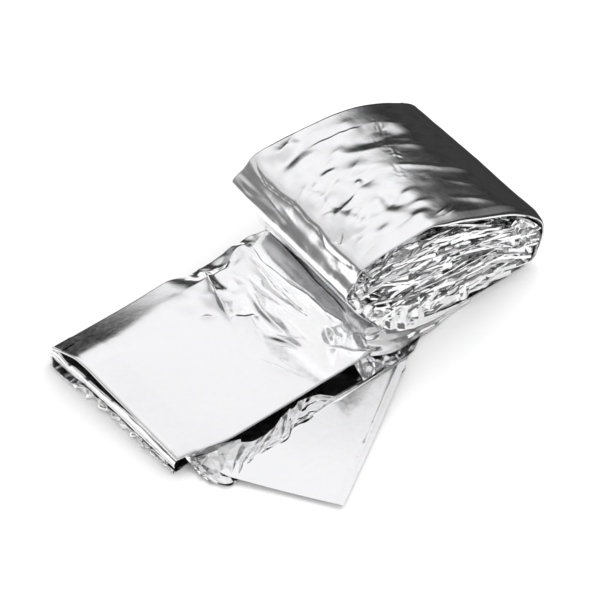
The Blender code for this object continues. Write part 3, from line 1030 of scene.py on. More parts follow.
@dataclass
class WoundTurns:
    """The turns wound inside the wrap, each a flat sleeve of film with crumpled edges.

    Round a turn, places are its shares from the foot of the roll: the turns are crushed at both
    ends of the roll, sag at its low side and at its nose, and are held back at the far top.
    """

    name: str = "wound_turns"
    stretches: tuple[tuple[float, float], ...] = ((1.0, 4.0), (4.0, 8.0), (8.0, 13.9))
    turns: float = 13.0
    half: float = 49.2
    radius: float = 0.62
    step: float = 1.3
    rows_in: tuple[float, ...] = (16.0, 10.0, 7.0, 5.0, 3.4, 2.2, 1.2, 0.5, 0.0)
    edge: float = 14.0
    ply_kinks: Kinks = Kinks(4.0, 14.0, 0.34)
    swell: Kinks = Kinks(14.0, 50.0, 0.55)
    shift: Kinks = Kinks(14.0, 50.0, 1.1)
    together: float = 0.8
    crush: Kinks = Kinks(2.0, 6.0, 1.1)
    crushed: tuple[tuple[tuple[float, float], tuple[float, float]], ...] = (
        ((0.22, 0.28), (0.38, 0.44)), ((0.70, 0.76), (0.95, 1.0)))
    sag_at: tuple[float, ...] = (0.28, 0.34, 0.40, 0.52, 0.56, 0.60, 0.66, 0.70, 0.74, 0.78)
    sag: tuple[float, ...] = (0.0, 3.4, 5.0, 5.0, 2.0, 1.4, 2.4, 3.8, 1.5, 0.0)
    recess: float = 6.0
    recess_ends: tuple[tuple[float, float], tuple[float, float]] = ((0.30, 0.42), (0.58, 0.70))
    notch: float = 6.0
    notch_ends: tuple[tuple[float, float], tuple[float, float]] = ((0.60, 0.64), (0.70, 0.73))
    slow_swing: Kinks = Kinks(14.0, 50.0, 1.5)
    quick_swing: Kinks = Kinks(4.0, 14.0, 0.5)
    crushed_in: float = 3.4
    crushed_swing: Kinks = Kinks(2.0, 6.0, 2.0)

    def sleeve(self) -> tuple[np.ndarray, np.ndarray]:
        """The closed section of one turn.

        Returns:
            The place across the band, and how far inside the turn's middle it lies.
        """
        inner = self.half - self.radius
        fine = inner - np.array(self.rows_in)
        bend = np.linspace(-np.pi / 2.0, np.pi / 2.0, 5)[1:-1]
        round_edge, face = inner + self.radius * np.cos(bend), np.full(2 * len(fine), self.radius)
        across = np.concatenate((-fine[::-1], fine, round_edge, fine[::-1], -fine, -round_edge))
        lift = np.concatenate((-face, self.radius * np.sin(bend), face, -self.radius * np.sin(bend)))
        return np.append(across, across[0]), np.append(lift, lift[0])

    def build(self, layout: Layout) -> list[bpy.types.Object]:
        """Build the turns in pieces.

        Args:
            layout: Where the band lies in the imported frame.

        Returns:
            One object for each stretch of turns.
        """
        return [self.stretch(layout, number, *turns) for number, turns in enumerate(self.stretches)]

    def stretch(self, layout: Layout, number: int, start: float, end: float) -> bpy.types.Object:
        """Build some of the turns.

        Args:
            layout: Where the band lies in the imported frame.
            number: The stretch's number, which also seeds its unevenness.
            start: First turn.
            end: Last turn.

        Returns:
            The new object.
        """
        rng = np.random.default_rng(40 + number)
        shape = RollShape(start, end, self.turns)
        along = np.arange(0.0, shape.front.run[-1], self.step)
        across, lift = self.sleeve()
        turn = shape.turn_at(along)[:, None]
        place = turn % 1.0
        depth = (np.maximum(0.0, turn - LEAD) / (self.turns - LEAD)) ** SLACK
        outer = 1.0 - depth
        ys = np.tile(across, (len(along), 1))
        front = smooth(self.half - self.edge, self.half, -ys)
        near_edge = np.maximum(front, smooth(self.half - self.edge, self.half, ys))
        x, z = shape.front.place(along)
        together = Noise(31).at(x[:, None] / 30.0, z[:, None] / 14.0 + ys / 40.0)
        kinks = self.ply_kinks.draw(rng, along, len(across) - 1)
        kinks = np.concatenate((kinks, kinks[:, :1]), axis=1)
        swell = np.clip(1.0 + self.swell.draw(rng, along), 0.35, 2.2)
        shift = self.shift.draw(rng, along)
        rise = lift * swell + near_edge * (self.together * together + shift + kinks)
        crushed = sum(window(*ends, place) for ends in self.crushed)
        rise = rise + near_edge * crushed * self.crush.draw(rng, along)
        sag = np.interp(place, self.sag_at, self.sag)
        rise = rise + sag * outer**3 * smooth(self.half - 20.0, self.half - 4.0, -ys)
        rise = np.maximum(rise, 0.9 - 12.0 * depth)
        recess = window(*self.recess_ends, place) * outer**2 * smooth(0.07, 0.15, depth)
        notch = window(*self.notch_ends, place) * outer**12
        held_back = self.recess * recess + self.notch * notch + 0.6
        swing = self.slow_swing.draw(rng, along) + self.quick_swing.draw(rng, along)
        swing = swing + crushed * (self.crushed_in + self.crushed_swing.draw(rng, along))
        ys = ys + front * (held_back + swing) - (near_edge - front) * (0.5 + swing)
        grid = shape.surface(along, ys, rise)
        film = distance_along(np.stack((across, lift), axis=-1))
        return film_object(f"{self.name}_{number}", grid, (along, film), layout, shade_smooth=False)


@dataclass
class RailSheet:
    """A piece of the film between two rails, with its own creases."""

    name: str
    first: tuple[tuple[float, float, float], ...]
    second: tuple[tuple[float, float, float], ...]
    cell: float
    bulge: float
    forms: tuple[Form, ...]
    shade_smooth: bool = True

    @staticmethod
    def rail(places: tuple[tuple[float, float, float], ...], count: int) -> np.ndarray:
        """A smooth rail through a few places.

        Args:
            places: The places.
            count: How many samples the rail gets.

        Returns:
            The samples, evenly spaced.
        """
        knots = np.array(places)
        run = distance_along(knots)
        slope = np.gradient(knots, run, axis=0)
        at = np.linspace(0.0, run[-1], count)
        index = np.clip(np.searchsorted(run, at, side="right") - 1, 0, len(knots) - 2)
        gap = (run[index + 1] - run[index])[:, None]
        return hermite((at - run[index])[:, None] / gap, (knots[index], knots[index + 1]),
                       (gap * slope[index], gap * slope[index + 1]))

    def build(self, layout: Layout) -> bpy.types.Object:
        """Build the sheet.

        Args:
            layout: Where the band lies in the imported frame.

        Returns:
            The new object.
        """
        draft = self.rail(self.first, 60), self.rail(self.second, 60)
        length = max(distance_along(rail)[-1] for rail in draft)
        width = np.linalg.norm(draft[0] - draft[1], axis=1).max()
        rows, columns = int(length / self.cell) + 2, int(width / self.cell) + 2
        relief = Relief(np.linspace(0.0, length, rows), np.linspace(0.0, width, columns))
        relief.add(*self.forms)
        relief.height += self.bulge * np.sin(np.pi * relief.v / width)
        share = (relief.v / width)[:, :, None]
        grid = self.rail(self.first, rows)[:, None, :] * (1.0 - share) \
            + self.rail(self.second, rows)[:, None, :] * share
        grid = grid + surface_normals(grid) * relief.height[:, :, None]
        return film_object(self.name, grid, (relief.along, relief.across), layout,
                           shade_smooth=self.shade_smooth)


@dataclass
class EndFolds:
    """The stacked folds at the loose end, below the upper ply's own fold.

    Across the band, a gap opens under the upper ply, a bag of film swells low down, and behind it a
    pocket goes deep between the folds.
    """

    name: str = "end_folds"
    cell: float = 0.7
    rows: int = 60
    lowest: float = 0.15
    seam_at: tuple[float, ...] = (-50.0, -36.0, -20.0, -4.0, 21.0, 35.0, 50.0)
    seam: tuple[float, ...] = (3.4, 4.2, 4.8, 5.8, 6.2, 5.6, 5.8)
    gap: float = 3.6
    gap_ends: tuple[tuple[float, float], tuple[float, float]] = ((-24.0, 22.0), (36.0, 47.0))
    pocket_ends: tuple[tuple[float, float], tuple[float, float]] = ((22.0, 32.0), (44.0, 49.0))
    pocket_fall: float = 0.6
    bag: float = 1.6
    bag_ends: tuple[tuple[float, float], tuple[float, float]] = ((20.0, 30.0), (42.0, 48.0))
    bag_wave: float = 0.9
    facet: float = 4.0
    seed: int = 51

    def section(self, across: np.ndarray) -> np.ndarray:
        """The folds' sections, seen from the front.

        Args:
            across: Where across the band each section lies.

        Returns:
            The x and z of each section's knots, from the top down.
        """
        roof = TAIL_Z - 0.25 + TailPly().lift(np.full(across.shape, TAIL_END_X), across)
        gap, deep = window(*self.gap_ends, across), window(*self.pocket_ends, across)
        wave = self.bag_wave * Noise(self.seed).at(across / 9.0, across * 0.0)
        bag = (self.bag * window(*self.bag_ends, across) + wave) * (1.0 - deep)
        low = np.interp(across, self.seam_at, self.seam)
        end, top, fall = TAIL_END_X, roof - 0.3 - self.gap * gap, 1.0 - self.pocket_fall * deep
        knots = ((end + 14.0 + 16.0 * gap, roof - 0.3), (end + 4.0 + 25.0 * gap, roof - 0.4),
                 (end + 3.0 + 24.0 * gap, top + 0.1), (end + 1.4, top), (end + 0.3, top - 0.4),
                 (end - 0.4, top - 1.4), (end - 0.7, (top + low) / 2.0), (end - 0.4, low + 0.9),
                 (end + 0.5, low + 0.1), (end + 12.0 + 8.0 * deep, low),
                 (end + 12.0 + 8.0 * deep, low - 1.3 - 2.4 * deep),
                 (end + 0.2 - 1.5 * deep, (low - 1.4) * fall),
                 (end - 0.8 - bag - 1.5 * deep, (low - 1.9) * fall),
                 (end - 1.3 - bag - deep, 0.40 * low * fall), (end - 0.3, 0.4), (end + 8.0, 0.3))
        return np.stack([np.stack((x + 0.0 * across, z + 0.0 * across), axis=-1) for x, z in knots], axis=1)

    def build(self, layout: Layout) -> bpy.types.Object:
        """Build the folds as one sheet running down the end.

        Args:
            layout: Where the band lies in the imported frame.

        Returns:
            The new object.
        """
        across = np.arange(-HALF_BAND + 0.6, HALF_BAND - 0.4, self.cell)
        knots = self.section(across)
        share = np.linspace(0.0, knots.shape[1] - 1.0, self.rows)
        low = np.clip(share.astype(int), 0, knots.shape[1] - 2)
        slope = np.gradient(knots, axis=1)
        line = hermite((share - low)[None, :, None], (knots[:, low], knots[:, low + 1]),
                       (slope[:, low], slope[:, low + 1]))
        us, vs = np.meshgrid(across, share * 2.0, indexing="ij")
        grid = np.stack((line[:, :, 0], us, line[:, :, 1]), axis=-1)
        rough = 0.08 + 1.5 * smooth(21.0, 24.0, vs) * (1.0 - smooth(26.0, 30.0, us))
        streaks = 0.16 * Noise(self.seed + 2).at(us / 16.0, vs * 0.9)
        height = rough * facets(self.seed + 1, us, vs, self.facet) + streaks
        grid = grid + surface_normals(grid) * height[:, :, None]
        grid[:, :, 2] = np.maximum(grid[:, :, 2], self.lowest)
        steps = np.linalg.norm(np.diff(grid, axis=1), axis=2).mean(axis=0)
        return film_object(self.name, grid, (across, np.concatenate(((0.0,), np.cumsum(steps)))), layout)


@dataclass
class FannedPly:
    """The lowest ply, fanned out to the front and lying flat."""

    name: str = "fanned_ply"
    cell: float = 0.8
    length: float = 150.0
    width: float = 100.0
    flat: float = 1.2
    near_rise: float = 1.5
    rise: float = 4.6
    forms: tuple[Form, ...] = (
        Lumps(41, 34.0, 0.3),
        Scatter(42, 30, (2.0, 90.0, 2.0, 60.0), (3.0, 12.0), (0.4, 1.2), (0.02, 0.08)),
        Scatter(43, 12, (5.0, 60.0, 1.0, 4.0), (2.0, 5.0), (0.4, 0.8), (0.03, 0.12), (80.0, 25.0)),
        Crease(((0.0, 3.4), (150.0, 3.0)), 0.25, 0.5, 0.9, fades=(0.0, 0.0)),
        Crease(((10.0, 24.0), (34.0, 32.0), (60.0, 36.0)), 0.18, 1.4, 3.0),
    )

    def build(self, layout: Layout) -> bpy.types.Object:
        """Build the ply.

        Args:
            layout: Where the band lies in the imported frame.

        Returns:
            The new object.
        """
        relief = Relief(np.arange(0.0, self.length, self.cell), np.arange(0.0, self.width + 0.1, self.cell))
        relief.add(*self.forms)
        us, vs = relief.u, relief.v
        x = FLAP_CORNER[0] + us * math.cos(FLAP_TURN) - vs * math.sin(FLAP_TURN)
        y = FLAP_CORNER[1] + us * math.sin(FLAP_TURN) + vs * math.cos(FLAP_TURN)
        x = x + 0.5 * np.maximum(0.0, -90.0 - x)
        high = self.near_rise + (self.rise - self.near_rise) * smooth(-60.0, -10.0, x) \
            + 0.8 * smooth(-10.0, 15.0, x)
        span = 41.0 - 14.0 * smooth(-40.0, 5.0, x)
        climb = np.clip((y + 65.0 + span) / span, 0.0, 1.0) * (1.0 - smooth(-65.5, -59.0, y))
        corner = smooth(48.0, 0.0, np.hypot(us, vs)) + 0.5 * smooth(30.0, 0.0, np.hypot(us, vs - 60.0))
        z = self.flat + high * climb + 0.9 * corner
        grid = np.stack((x, y, z + relief.height), axis=-1)
        return film_object(self.name, grid, (relief.along, relief.across), layout)


@dataclass
class EndRibbons:
    """Narrow ribbons of folded film that stand out of the roll's front end, along its turns.

    Each ribbon's stray place is in metres, its turn in radians, and its size a share of the usual.
    """

    name: str = "end_ribbons"
    lines: int = 17
    heights: tuple[float, float] = (0.13, 0.86)
    ends: tuple[float, float] = (21.0, 104.0)
    bow: float = 10.0
    places: int = 24
    lean: float = 1.05
    more_lean: float = 0.45
    spacing: float = 7.0
    length: float = 24.0
    width: float = 1.8
    wander: float = 1.2
    ripple: float = 120.0
    stray: tuple[tuple[float, float, float], ...] = ((-0.002, -0.0012, -0.0014), (0.002, 0.0018, 0.0014))
    turn: tuple[tuple[float, float, float], ...] = ((-0.75, -0.16, -0.14), (0.75, 0.16, 0.14))
    size: tuple[tuple[float, float, float], ...] = ((0.3, 0.35, 1.0), (1.6, 1.6, 1.0))
    seed: int = 5

    def guides(self, layout: Layout) -> bpy.types.Object:
        """The lines that the ribbons follow, from the roll's near end to its far end.

        Args:
            layout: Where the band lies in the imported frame.

        Returns:
            An object of loose edges.
        """
        rows = [dict(zip(SECTION_COLUMNS, row)) for row in SECTION]
        far = [row["name"] for row in rows].index("end_mid")
        top = sorted((row["x"], row["z"]) for row in rows[far:NOSE_ROW + 3])
        low = sorted((row["x"], row["z"]) for row in rows[:far + 1] + rows[NOSE_ROW + 2:])
        places, edges, leans, spreads = [], [], [], []
        for share in np.linspace(*self.heights, self.lines):
            bow = self.bow * (2.0 * share - 1.0) ** 2
            x = np.linspace(self.ends[0] + bow, self.ends[1] - bow, self.places)
            roof, ground = np.interp(x, *np.transpose(top)), np.interp(x, *np.transpose(low))
            z = ground + (roof - ground) * share
            y = np.full(x.shape, -HALF_BAND - 0.4 + 1.6 * smooth(0.55, 0.95, share))
            start = len(places)
            places += layout.place(np.stack((x, y, z), axis=-1)).tolist()
            edges += [(start + step, start + step + 1) for step in range(len(x) - 1)]
            upper = smooth(0.45, 0.60, share)
            leans += (self.lean + self.more_lean * upper * smooth(52.0, 64.0, x)).tolist()
            spreads += [1.0 - 0.5 * upper] * len(x)
        mesh = bpy.data.meshes.new("ribbon_lines")
        mesh.from_pydata(places, edges, [])
        for label, values in (("lean", leans), ("spread", spreads)):
            mesh.attributes.new(label, "FLOAT", "POINT").data.foreach_set("value", values)
        guide = bpy.data.objects.new("ribbon_lines", mesh)
        bpy.context.scene.collection.objects.link(guide)
        return guide

    def tree(self) -> bpy.types.GeometryNodeTree:
        """The node tree that lays ribbons along lines.

        Returns:
            A tree with the sizes, the seed and the material as inputs.
        """
        tree, given, end = new_group("ribbons_along_lines", "GeometryNodeTree",
                                     {"Geometry": "Geometry", "Spacing": "Float", "Length": "Float",
                                      "Width": "Float", "Wander": "Float", "Seed": "Int",
                                      "Film": "Material"}, {"Geometry": "Geometry"})

        def uneven(low: tuple[float, float, float], high: tuple[float, float, float]) -> bpy.types.Node:
            """A random vector between two others, for each ribbon."""
            return add_node(tree, "FunctionNodeRandomValue", {"Min": low, "Max": high, "Seed": given["Seed"]},
                            data_type="FLOAT_VECTOR")

        def read(label: str) -> bpy.types.Node:
            """A number that the lines carry."""
            return add_node(tree, "GeometryNodeInputNamedAttribute", {"Name": label}, data_type="FLOAT")

        curve = add_node(tree, "GeometryNodeMeshToCurve", {"Mesh": given["Geometry"]})
        spaced = add_node(tree, "GeometryNodeResampleCurve", {"Curve": curve, "Length": given["Spacing"]},
                          mode="LENGTH")
        moved = add_node(tree, "GeometryNodeSetPosition", {"Geometry": spaced, "Offset": uneven(*self.stray)})
        strip = add_node(tree, "GeometryNodeMeshGrid", {"Size X": given["Length"], "Size Y": given["Width"],
                                                        "Vertices X": 9, "Vertices Y": 3})
        named = add_node(tree, "GeometryNodeStoreNamedAttribute",
                         {"Geometry": strip, "Name": "film", "Value": strip.outputs["UV Map"]},
                         data_type="FLOAT2", domain="CORNER")
        along = add_node(tree, "FunctionNodeAlignRotationToVector",
                         {"Vector": add_node(tree, "GeometryNodeInputTangent")}, axis="X")
        tipped = add_node(tree, "ShaderNodeCombineXYZ", {"X": read("lean")})
        rolled = add_node(tree, "ShaderNodeVectorMath", {0: uneven(*self.turn), "Scale": read("spread")},
                          operation="SCALE")
        leaning = add_node(tree, "ShaderNodeVectorMath", {0: rolled, 1: tipped}, operation="ADD")
        turned = add_node(tree, "FunctionNodeRotateRotation",
                          {"Rotation": along,
                           "Rotate By": add_node(tree, "FunctionNodeEulerToRotation", {"Euler": leaning})},
                          rotation_space="LOCAL")
        laid = add_node(tree, "GeometryNodeInstanceOnPoints",
                        {"Points": moved, "Instance": named, "Rotation": turned,
                         "Scale": uneven(*self.size)})
        joined = add_node(tree, "GeometryNodeRealizeInstances", {"Geometry": laid})
        noise = add_node(tree, "ShaderNodeTexNoise", {"Scale": self.ripple})
        centred = add_node(tree, "ShaderNodeVectorMath", {0: noise.outputs["Color"], 1: (0.5, 0.5, 0.5)},
                           operation="SUBTRACT")
        bend = add_node(tree, "ShaderNodeVectorMath", {0: centred, "Scale": given["Wander"]},
                        operation="SCALE")
        bent = add_node(tree, "GeometryNodeSetPosition", {"Geometry": joined, "Offset": bend})
        feed(end, {"Geometry": add_node(tree, "GeometryNodeSetMaterial",
                                        {"Geometry": bent, "Material": given["Film"]})})
        return tree

    def build(self, layout: Layout, film: bpy.types.Material) -> bpy.types.Object:
        """Build the ribbons.

        Args:
            layout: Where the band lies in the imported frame.
            film: Their material.

        Returns:
            The new object, a plain mesh.
        """
        guide = self.guides(layout)
        modifier = guide.modifiers.new("ribbons", "NODES")
        modifier.node_group = self.tree()
        values = {"Spacing": self.spacing * MM, "Length": self.length * MM, "Width": self.width * MM,
                  "Wander": self.wander * MM, "Seed": self.seed, "Film": film}
        for item in modifier.node_group.interface.items_tree:
            if item.in_out == "INPUT" and item.name in values:
                modifier[item.identifier] = values[item.name]
        seen = guide.evaluated_get(bpy.context.evaluated_depsgraph_get())
        mesh = bpy.data.meshes.new_from_object(seen)
        mesh.name = self.name
        bpy.data.objects.remove(guide)
        ribbons = bpy.data.objects.new(self.name, mesh)
        bpy.context.scene.collection.objects.link(ribbons)
        return ribbons


@dataclass(frozen=True)
class Gussets:
    """The crumpled film between the loose end, the roll and the fanned ply."""

    def sheets(self) -> list[RailSheet]:
        """Describe the pieces.

        Returns:
            One sheet for each, between its own rails.
        """
        return [
            RailSheet("front_gusset",
                      ((-97.0, -53.0, 7.4), (-86.0, -55.6, 7.2), (-75.0, -57.0, 5.6), (-65.0, -60.6, 4.6),
                       (-54.0, -60.0, 5.2), (-45.0, -57.0, 6.0), (-34.5, -54.8, 6.4),
                       (-24.8, -55.8, 5.8), (-20.0, -59.5, 5.4), (-14.0, -63.0, 5.2), (-3.0, -63.6, 5.4)),
                      ((-99.5, -60.0, 1.6), (-92.0, -73.3, 1.8), (-80.0, -69.3, 2.8), (-65.5, -67.4, 3.2),
                       (-50.0, -67.8, 3.6), (-45.0, -64.8, 3.9), (-35.6, -65.7, 4.3), (-27.0, -66.2, 4.8),
                       (-16.0, -64.6, 5.2), (-9.0, -65.0, 5.4), (-2.0, -65.2, 5.6)),
                      0.5, 0.8, (Crumple(61, 5.0, 0.28), Pleats(65, 4.0, 9.0, 0.7, 0.7))),
            RailSheet("corner_nub",
                      ((-101.0, -49.5, 8.0), (-94.0, -51.5, 9.0), (-84.0, -54.0, 8.8), (-72.0, -57.0, 7.0)),
                      ((-100.0, -58.7, 1.2), (-97.0, -67.0, 1.0), (-92.5, -73.4, 1.1), (-78.0, -69.0, 2.6)),
                      0.5, 2.4, (Crumple(62, 7.0, 0.5), Pleats(66, 6.0, 12.0, 0.7, -0.5))),
            RailSheet("knot_pleats",
                      ((4.0, -52.4, 8.4), (10.0, -52.0, 8.2), (17.0, -52.0, 7.4), (24.0, -52.0, 7.0)),
                      ((1.0, -63.6, 5.6), (7.0, -63.0, 5.2), (15.0, -62.0, 5.0), (26.0, -60.0, 4.4)),
                      0.45, 0.5, (Crumple(68, 3.6, 0.25), Pleats(69, 2.4, 6.0, 0.35, 0.2))),
            RailSheet("side_wedge",
                      ((19.0, -42.0, 14.4), (28.0, -47.6, 15.0), (38.0, -50.6, 13.0), (52.0, -51.4, 9.0),
                       (66.7, -51.0, 5.4), (80.0, -50.6, 3.2)),
                      ((13.0, -55.0, 8.8), (20.0, -57.4, 7.2), (27.0, -58.0, 5.6), (40.6, -55.4, 3.0),
                       (52.7, -54.4, 1.6), (69.8, -51.6, 0.6), (82.0, -50.8, 0.4)),
                      0.5, 0.9, (Crumple(63, 6.0, 0.12), Pleats(67, 2.2, 5.0, 0.3, -0.12, fan=True))),
            RailSheet("end_crinkle",
                      ((58.0, -48.6, 58.0), (74.0, -47.4, 53.0), (91.0, -47.0, 45.4), (108.0, -47.6, 36.0),
                       (121.0, -48.6, 28.0)),
                      ((56.0, -50.4, 40.0), (70.0, -50.4, 36.4), (86.0, -50.2, 31.0), (104.0, -50.0, 24.6),
                       (122.0, -49.6, 19.0)),
                      0.55, 0.6, (Crumple(71, 6.0, 0.35), Pleats(72, 2.0, 5.5, 0.45, 0.06, fan=True)),
                      shade_smooth=False),
            RailSheet("end_dark_fold",
                      ((8.0, -45.6, 54.0), (20.0, -44.4, 60.0), (36.0, -43.6, 62.0), (56.0, -44.4, 59.0)),
                      ((10.0, -50.6, 46.0), (24.0, -51.2, 49.0), (40.0, -51.4, 49.6), (60.0, -50.8, 46.0)),
                      0.55, 0.5, (Crumple(73, 7.0, 0.45), Pleats(74, 2.0, 5.0, 1.0, -0.10, fan=True)),
                      shade_smooth=False),
            RailSheet("end_low_fold",
                      ((52.0, -48.6, 24.0), (70.0, -49.0, 20.4), (92.0, -49.0, 14.0), (116.0, -48.6, 8.0)),
                      ((50.0, -50.4, 12.4), (66.0, -50.4, 7.0), (90.0, -49.8, 3.2), (118.0, -49.0, 2.2)),
                      0.7, 0.8, (Crumple(75, 8.0, 0.7), Pleats(76, 5.0, 11.0, 0.6, -0.5))),
            RailSheet("end_far_fold",
                      ((112.0, -49.0, 38.0), (121.0, -50.0, 32.0), (128.0, -49.6, 22.0),
                       (128.6, -49.4, 14.0)),
                      ((98.0, -48.6, 24.0), (106.0, -50.4, 19.0), (113.0, -51.0, 13.0),
                       (118.0, -50.2, 5.0)),
                      0.6, 0.6, (Crumple(77, 4.6, 1.2), Pleats(78, 2.4, 6.0, 0.8, 0.7)), shade_smooth=False),
            RailSheet("end_knot",
                      ((6.4, -48.0, 50.0), (12.0, -50.6, 43.0), (21.0, -51.2, 35.0), (35.0, -51.4, 27.0),
                       (48.0, -51.0, 22.0)),
                      ((5.0, -47.6, 43.0), (14.0, -50.4, 31.0), (24.0, -52.0, 19.0), (38.0, -52.4, 11.0),
                       (52.0, -52.0, 8.0)),
                      0.6, 0.8, (Crumple(79, 6.5, 0.5), Pleats(80, 3.0, 7.0, 1.0, 0.4)), shade_smooth=False),
            RailSheet("small_pleat",
                      ((11.6, -55.0, 4.6), (18.0, -55.0, 5.4), (26.7, -50.0, 6.0)),
                      ((14.5, -66.5, 4.0), (20.5, -70.0, 3.4), (31.5, -60.1, 2.2)),
                      0.5, 0.6, (Crumple(64, 3.6, 0.5),)),
        ]


@dataclass(frozen=True)
class LightMaths:
    """Sums and ramps over the sockets of one shader tree."""

    tree: bpy.types.NodeTree

    def combine(self, operation: str, first: object, second: object) -> bpy.types.Node:
        """Two nodes, sockets or numbers combined by a maths node."""
        return add_node(self.tree, "ShaderNodeMath", {0: first, 1: second}, operation=operation)

    def ramp(self, value: object, low: float, high: float) -> bpy.types.Node:
        """A smooth ramp over a value, from 0 at low to 1 at high."""
        return add_node(self.tree, "ShaderNodeMapRange", {"Value": value, "From Min": low, "From Max": high},
                        interpolation_type="SMOOTHSTEP")

    def toward(self, way: object, heading: tuple[float, float, float]) -> bpy.types.NodeSocket:
        """How far a direction points a given way, from -1 to 1."""
        aim = {0: way, 1: tuple(Vector(heading).normalized())}
        return add_node(self.tree, "ShaderNodeVectorMath", aim, operation="DOT_PRODUCT").outputs["Value"]

    def mirror_only(self) -> bpy.types.Node:
        """Tell what the film mirrors from what lights the table.

        Returns:
            A node that puts out 1 for what the camera sees mirrored, and 0 for all else.
        """
        path = add_node(self.tree, "ShaderNodeLightPath").outputs
        clean = self.combine("SUBTRACT", 1.0, self.combine("MINIMUM", path["Diffuse Depth"], 1.0))
        return self.combine("MULTIPLY", path["Is Glossy Ray"], clean)


@dataclass(frozen=True)
class Glow:
    """One soft light of the mirrored room, where all of its ramps over a direction meet."""

    strength: float
    ramps: tuple[tuple[tuple[float, float, float], float, float], ...]

    def light(self, maths: LightMaths, way: object) -> bpy.types.Node:
        """The glow's light.

        Args:
            maths: Sums over the room's tree.
            way: The socket of the direction that is looked in.

        Returns:
            The node that puts it out.
        """
        total = self.strength
        for heading, low, high in self.ramps:
            total = maths.combine("MULTIPLY", maths.ramp(maths.toward(way, heading), low, high), total)
        return total


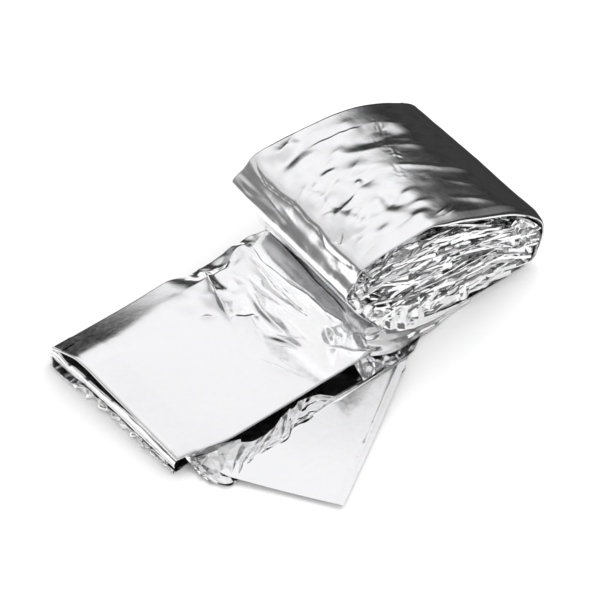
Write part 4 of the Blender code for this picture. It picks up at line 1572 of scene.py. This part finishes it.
@dataclass
class Studio:
    """The floor, the soft surroundings and the camera."""

    azimuth: float = -39.4
    elevation: float = 45.0
    distance: float = 3.2
    frame_size: float = 0.300
    aim: tuple[float, float, float] = (6.8, -7.0, 15.0)
    sensor: float = 36.0
    sight: float = 20.0
    floor_half: float = 6.0
    # where along x the table turns to its painted dark reflection, seen only in the film
    painted_reflection_fades: tuple[float, float] = (0.118, 0.138)
    pale: tuple[float, float, float, float] = (0.93, 0.93, 0.93, 1.0)
    # the painted dark reflection: the table's colour far off, in what the film mirrors
    dark: tuple[float, float, float, float] = (0.03, 0.03, 0.03, 1.0)
    room_light: float = 0.92
    mirrored_tone: tuple[float, float, float, float] = (0.99, 0.99, 1.0, 1.0)
    surround: float = 0.03
    box_toward: tuple[float, float, float] = (0.30, 0.36, 0.88)
    box_edge: tuple[float, float] = (0.65, 0.86)
    box_light: float = 0.97
    box_middle: tuple[float, float, float] = (0.45, 0.55, 0.70)
    box_fall: float = 2.6
    box_loss: float = 0.30
    glows: tuple[Glow, ...] = (
        Glow(0.48, ((UP, 0.80, 0.64), (BACK_LEFT, 0.25, 0.60))),
        Glow(-0.30, ((UP, 0.80, 0.64), (BACK_LEFT, 0.25, 0.60), (UP, 0.10, 0.62))),
        Glow(0.42, ((UP, 0.40, 0.58), (BACK, -0.15, -0.40))),
        Glow(0.14, (((0.10, -0.80, 0.50), 0.20, 0.85),)),
        Glow(0.75, ((UP, 0.42, 0.22), ((-0.90, 0.30, 0.0), 0.20, 0.60))),
        Glow(0.15, ((UP, 0.06, 0.38), (RIGHT, 0.50, 0.74))),
    )
    key_size: tuple[float, float] = (1.6, 1.4)
    key_toward: tuple[float, float, float] = (0.60, 0.15, 0.79)
    key_distance: float = 1.6
    key_power: float = 14.0

    def build(self, layout: Layout) -> None:
        """Set up the studio.

        Args:
            layout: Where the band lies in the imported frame.
        """
        self.add_floor()
        self.add_world()
        self.add_light()
        self.add_camera(layout)
        bpy.context.scene.view_settings.view_transform = "Standard"

    @staticmethod
    def stand(name: str, data: bpy.types.ID, place: Vector, back: Vector) -> bpy.types.Object:
        """Stand a camera or a light in the scene.

        Args:
            name: Its name.
            data: The camera or the light.
            place: Where it stands.
            back: The direction that it turns its back to.

        Returns:
            Its object.
        """
        holder = bpy.data.objects.new(name, data)
        holder.location = place
        holder.rotation_euler = (-back).to_track_quat("-Z", "Y").to_euler()
        bpy.context.scene.collection.objects.link(holder)
        return holder

    def add_camera(self, layout: Layout) -> None:
        """Place the camera so that the frame is frame_size wide at the point it aims at.

        Args:
            layout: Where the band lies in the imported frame.
        """
        turn, rise = math.radians(self.azimuth), math.radians(self.elevation)
        back = Vector((math.sin(turn) * math.cos(rise), -math.cos(turn) * math.cos(rise), math.sin(rise)))
        camera = bpy.data.cameras.new("camera")
        camera.sensor_width = self.sensor
        camera.lens = self.sensor * self.distance / self.frame_size
        camera.clip_end = self.sight
        target = Vector(layout.place(np.array(self.aim)))
        bpy.context.scene.camera = self.stand("camera", camera, target + back * self.distance, back)

    def add_floor(self) -> None:
        """A pale table; in what the film mirrors, its far part past the fades along x is painted dark, a
        painted dark reflection.
        """
        size = self.floor_half
        mesh = bpy.data.meshes.new("floor")
        mesh.from_pydata([(-size, -size, 0), (size, -size, 0), (size, size, 0), (-size, size, 0)], [],
                         [(0, 1, 2, 3)])
        floor = bpy.data.objects.new("floor", mesh)
        bpy.context.scene.collection.objects.link(floor)
        material = bpy.data.materials.new("table")
        material.use_nodes = True
        tree = material.node_tree
        tree.nodes.clear()
        maths = LightMaths(tree)
        place = add_node(tree, "ShaderNodeTexCoord").outputs["Object"]
        painted_reflection_far = maths.ramp(add_node(tree, "ShaderNodeSeparateXYZ", {0: place}).outputs["X"], *self.painted_reflection_fades)
        # painted dark reflection: mirrored rays see the far table painted dark, all other rays see it pale
        mix = add_node(tree, "ShaderNodeMixShader",
                       {"Fac": maths.combine("MULTIPLY", painted_reflection_far, maths.mirror_only()),
                        1: add_node(tree, "ShaderNodeBsdfDiffuse", {"Color": self.pale}),
                        2: add_node(tree, "ShaderNodeBsdfDiffuse", {"Color": self.dark})})
        add_node(tree, "ShaderNodeOutputMaterial", {"Surface": mix})
        mesh.materials.append(material)

    def add_world(self) -> None:
        """A white room whose mirrored side is one large soft light over a dark surround."""
        world = bpy.data.worlds.new("room")
        world.use_nodes = True
        tree = world.node_tree
        tree.nodes.clear()
        maths = LightMaths(tree)
        way = add_node(tree, "ShaderNodeTexCoord").outputs["Generated"]
        off = maths.combine("SUBTRACT", 1.0, maths.toward(way, self.box_middle))
        dim = maths.combine("MINIMUM", maths.combine("MULTIPLY", off, self.box_fall), self.box_loss)
        light = maths.combine("MULTIPLY", maths.ramp(maths.toward(way, self.box_toward), *self.box_edge),
                              maths.combine("SUBTRACT", self.box_light, dim))
        for glow in self.glows:
            light = maths.combine("ADD", light, glow.light(maths, way))
        light = maths.combine("ADD", light, self.surround)
        mirrored = add_node(tree, "ShaderNodeBackground", {"Color": self.mirrored_tone, "Strength": light})
        room = add_node(tree, "ShaderNodeBackground", {"Color": (1.0, 1.0, 1.0, 1.0),
                                                       "Strength": self.room_light})
        mix = add_node(tree, "ShaderNodeMixShader", {"Fac": maths.mirror_only(), 1: room, 2: mirrored})
        add_node(tree, "ShaderNodeOutputWorld", {"Surface": mix})
        bpy.context.scene.world = world

    def add_light(self) -> None:
        """A soft light for the shadows alone."""
        light = bpy.data.lights.new("key", "AREA")
        light.shape = "RECTANGLE"
        light.size, light.size_y = self.key_size
        light.energy = self.key_power
        way = Vector(self.key_toward).normalized()
        self.stand("key", light, way * self.key_distance, way).visible_glossy = False


def declare_sheet(piece: bpy.types.Object) -> None:
    """Take the record of its unrolled size off one piece again.

    Args:
        piece: The piece.
    """
    del piece[UNROLLED]


def main() -> None:
    """Build the blanket and its studio, and report each piece."""
    logging.basicConfig(level=logging.INFO, format="%(message)s")
    layout = Layout.from_frame()
    film = FilmFinish().material()
    pieces = [TailPly().build(layout), RollWrap().build(layout), *WoundTurns().build(layout),
              EndFolds().build(layout), FannedPly().build(layout),
              *(sheet.build(layout) for sheet in Gussets().sheets())]
    ribbons = EndRibbons().build(layout, film)
    for piece in pieces:
        piece.data.materials.append(film)
        declare_sheet(piece)
    for piece in (*pieces, ribbons):
        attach(piece, "root")
        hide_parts(NODE)
        log.info("%s: %d faces", piece.name, len(piece.data.polygons))
    Studio().build(layout)


if __name__ == "__main__":
    main()
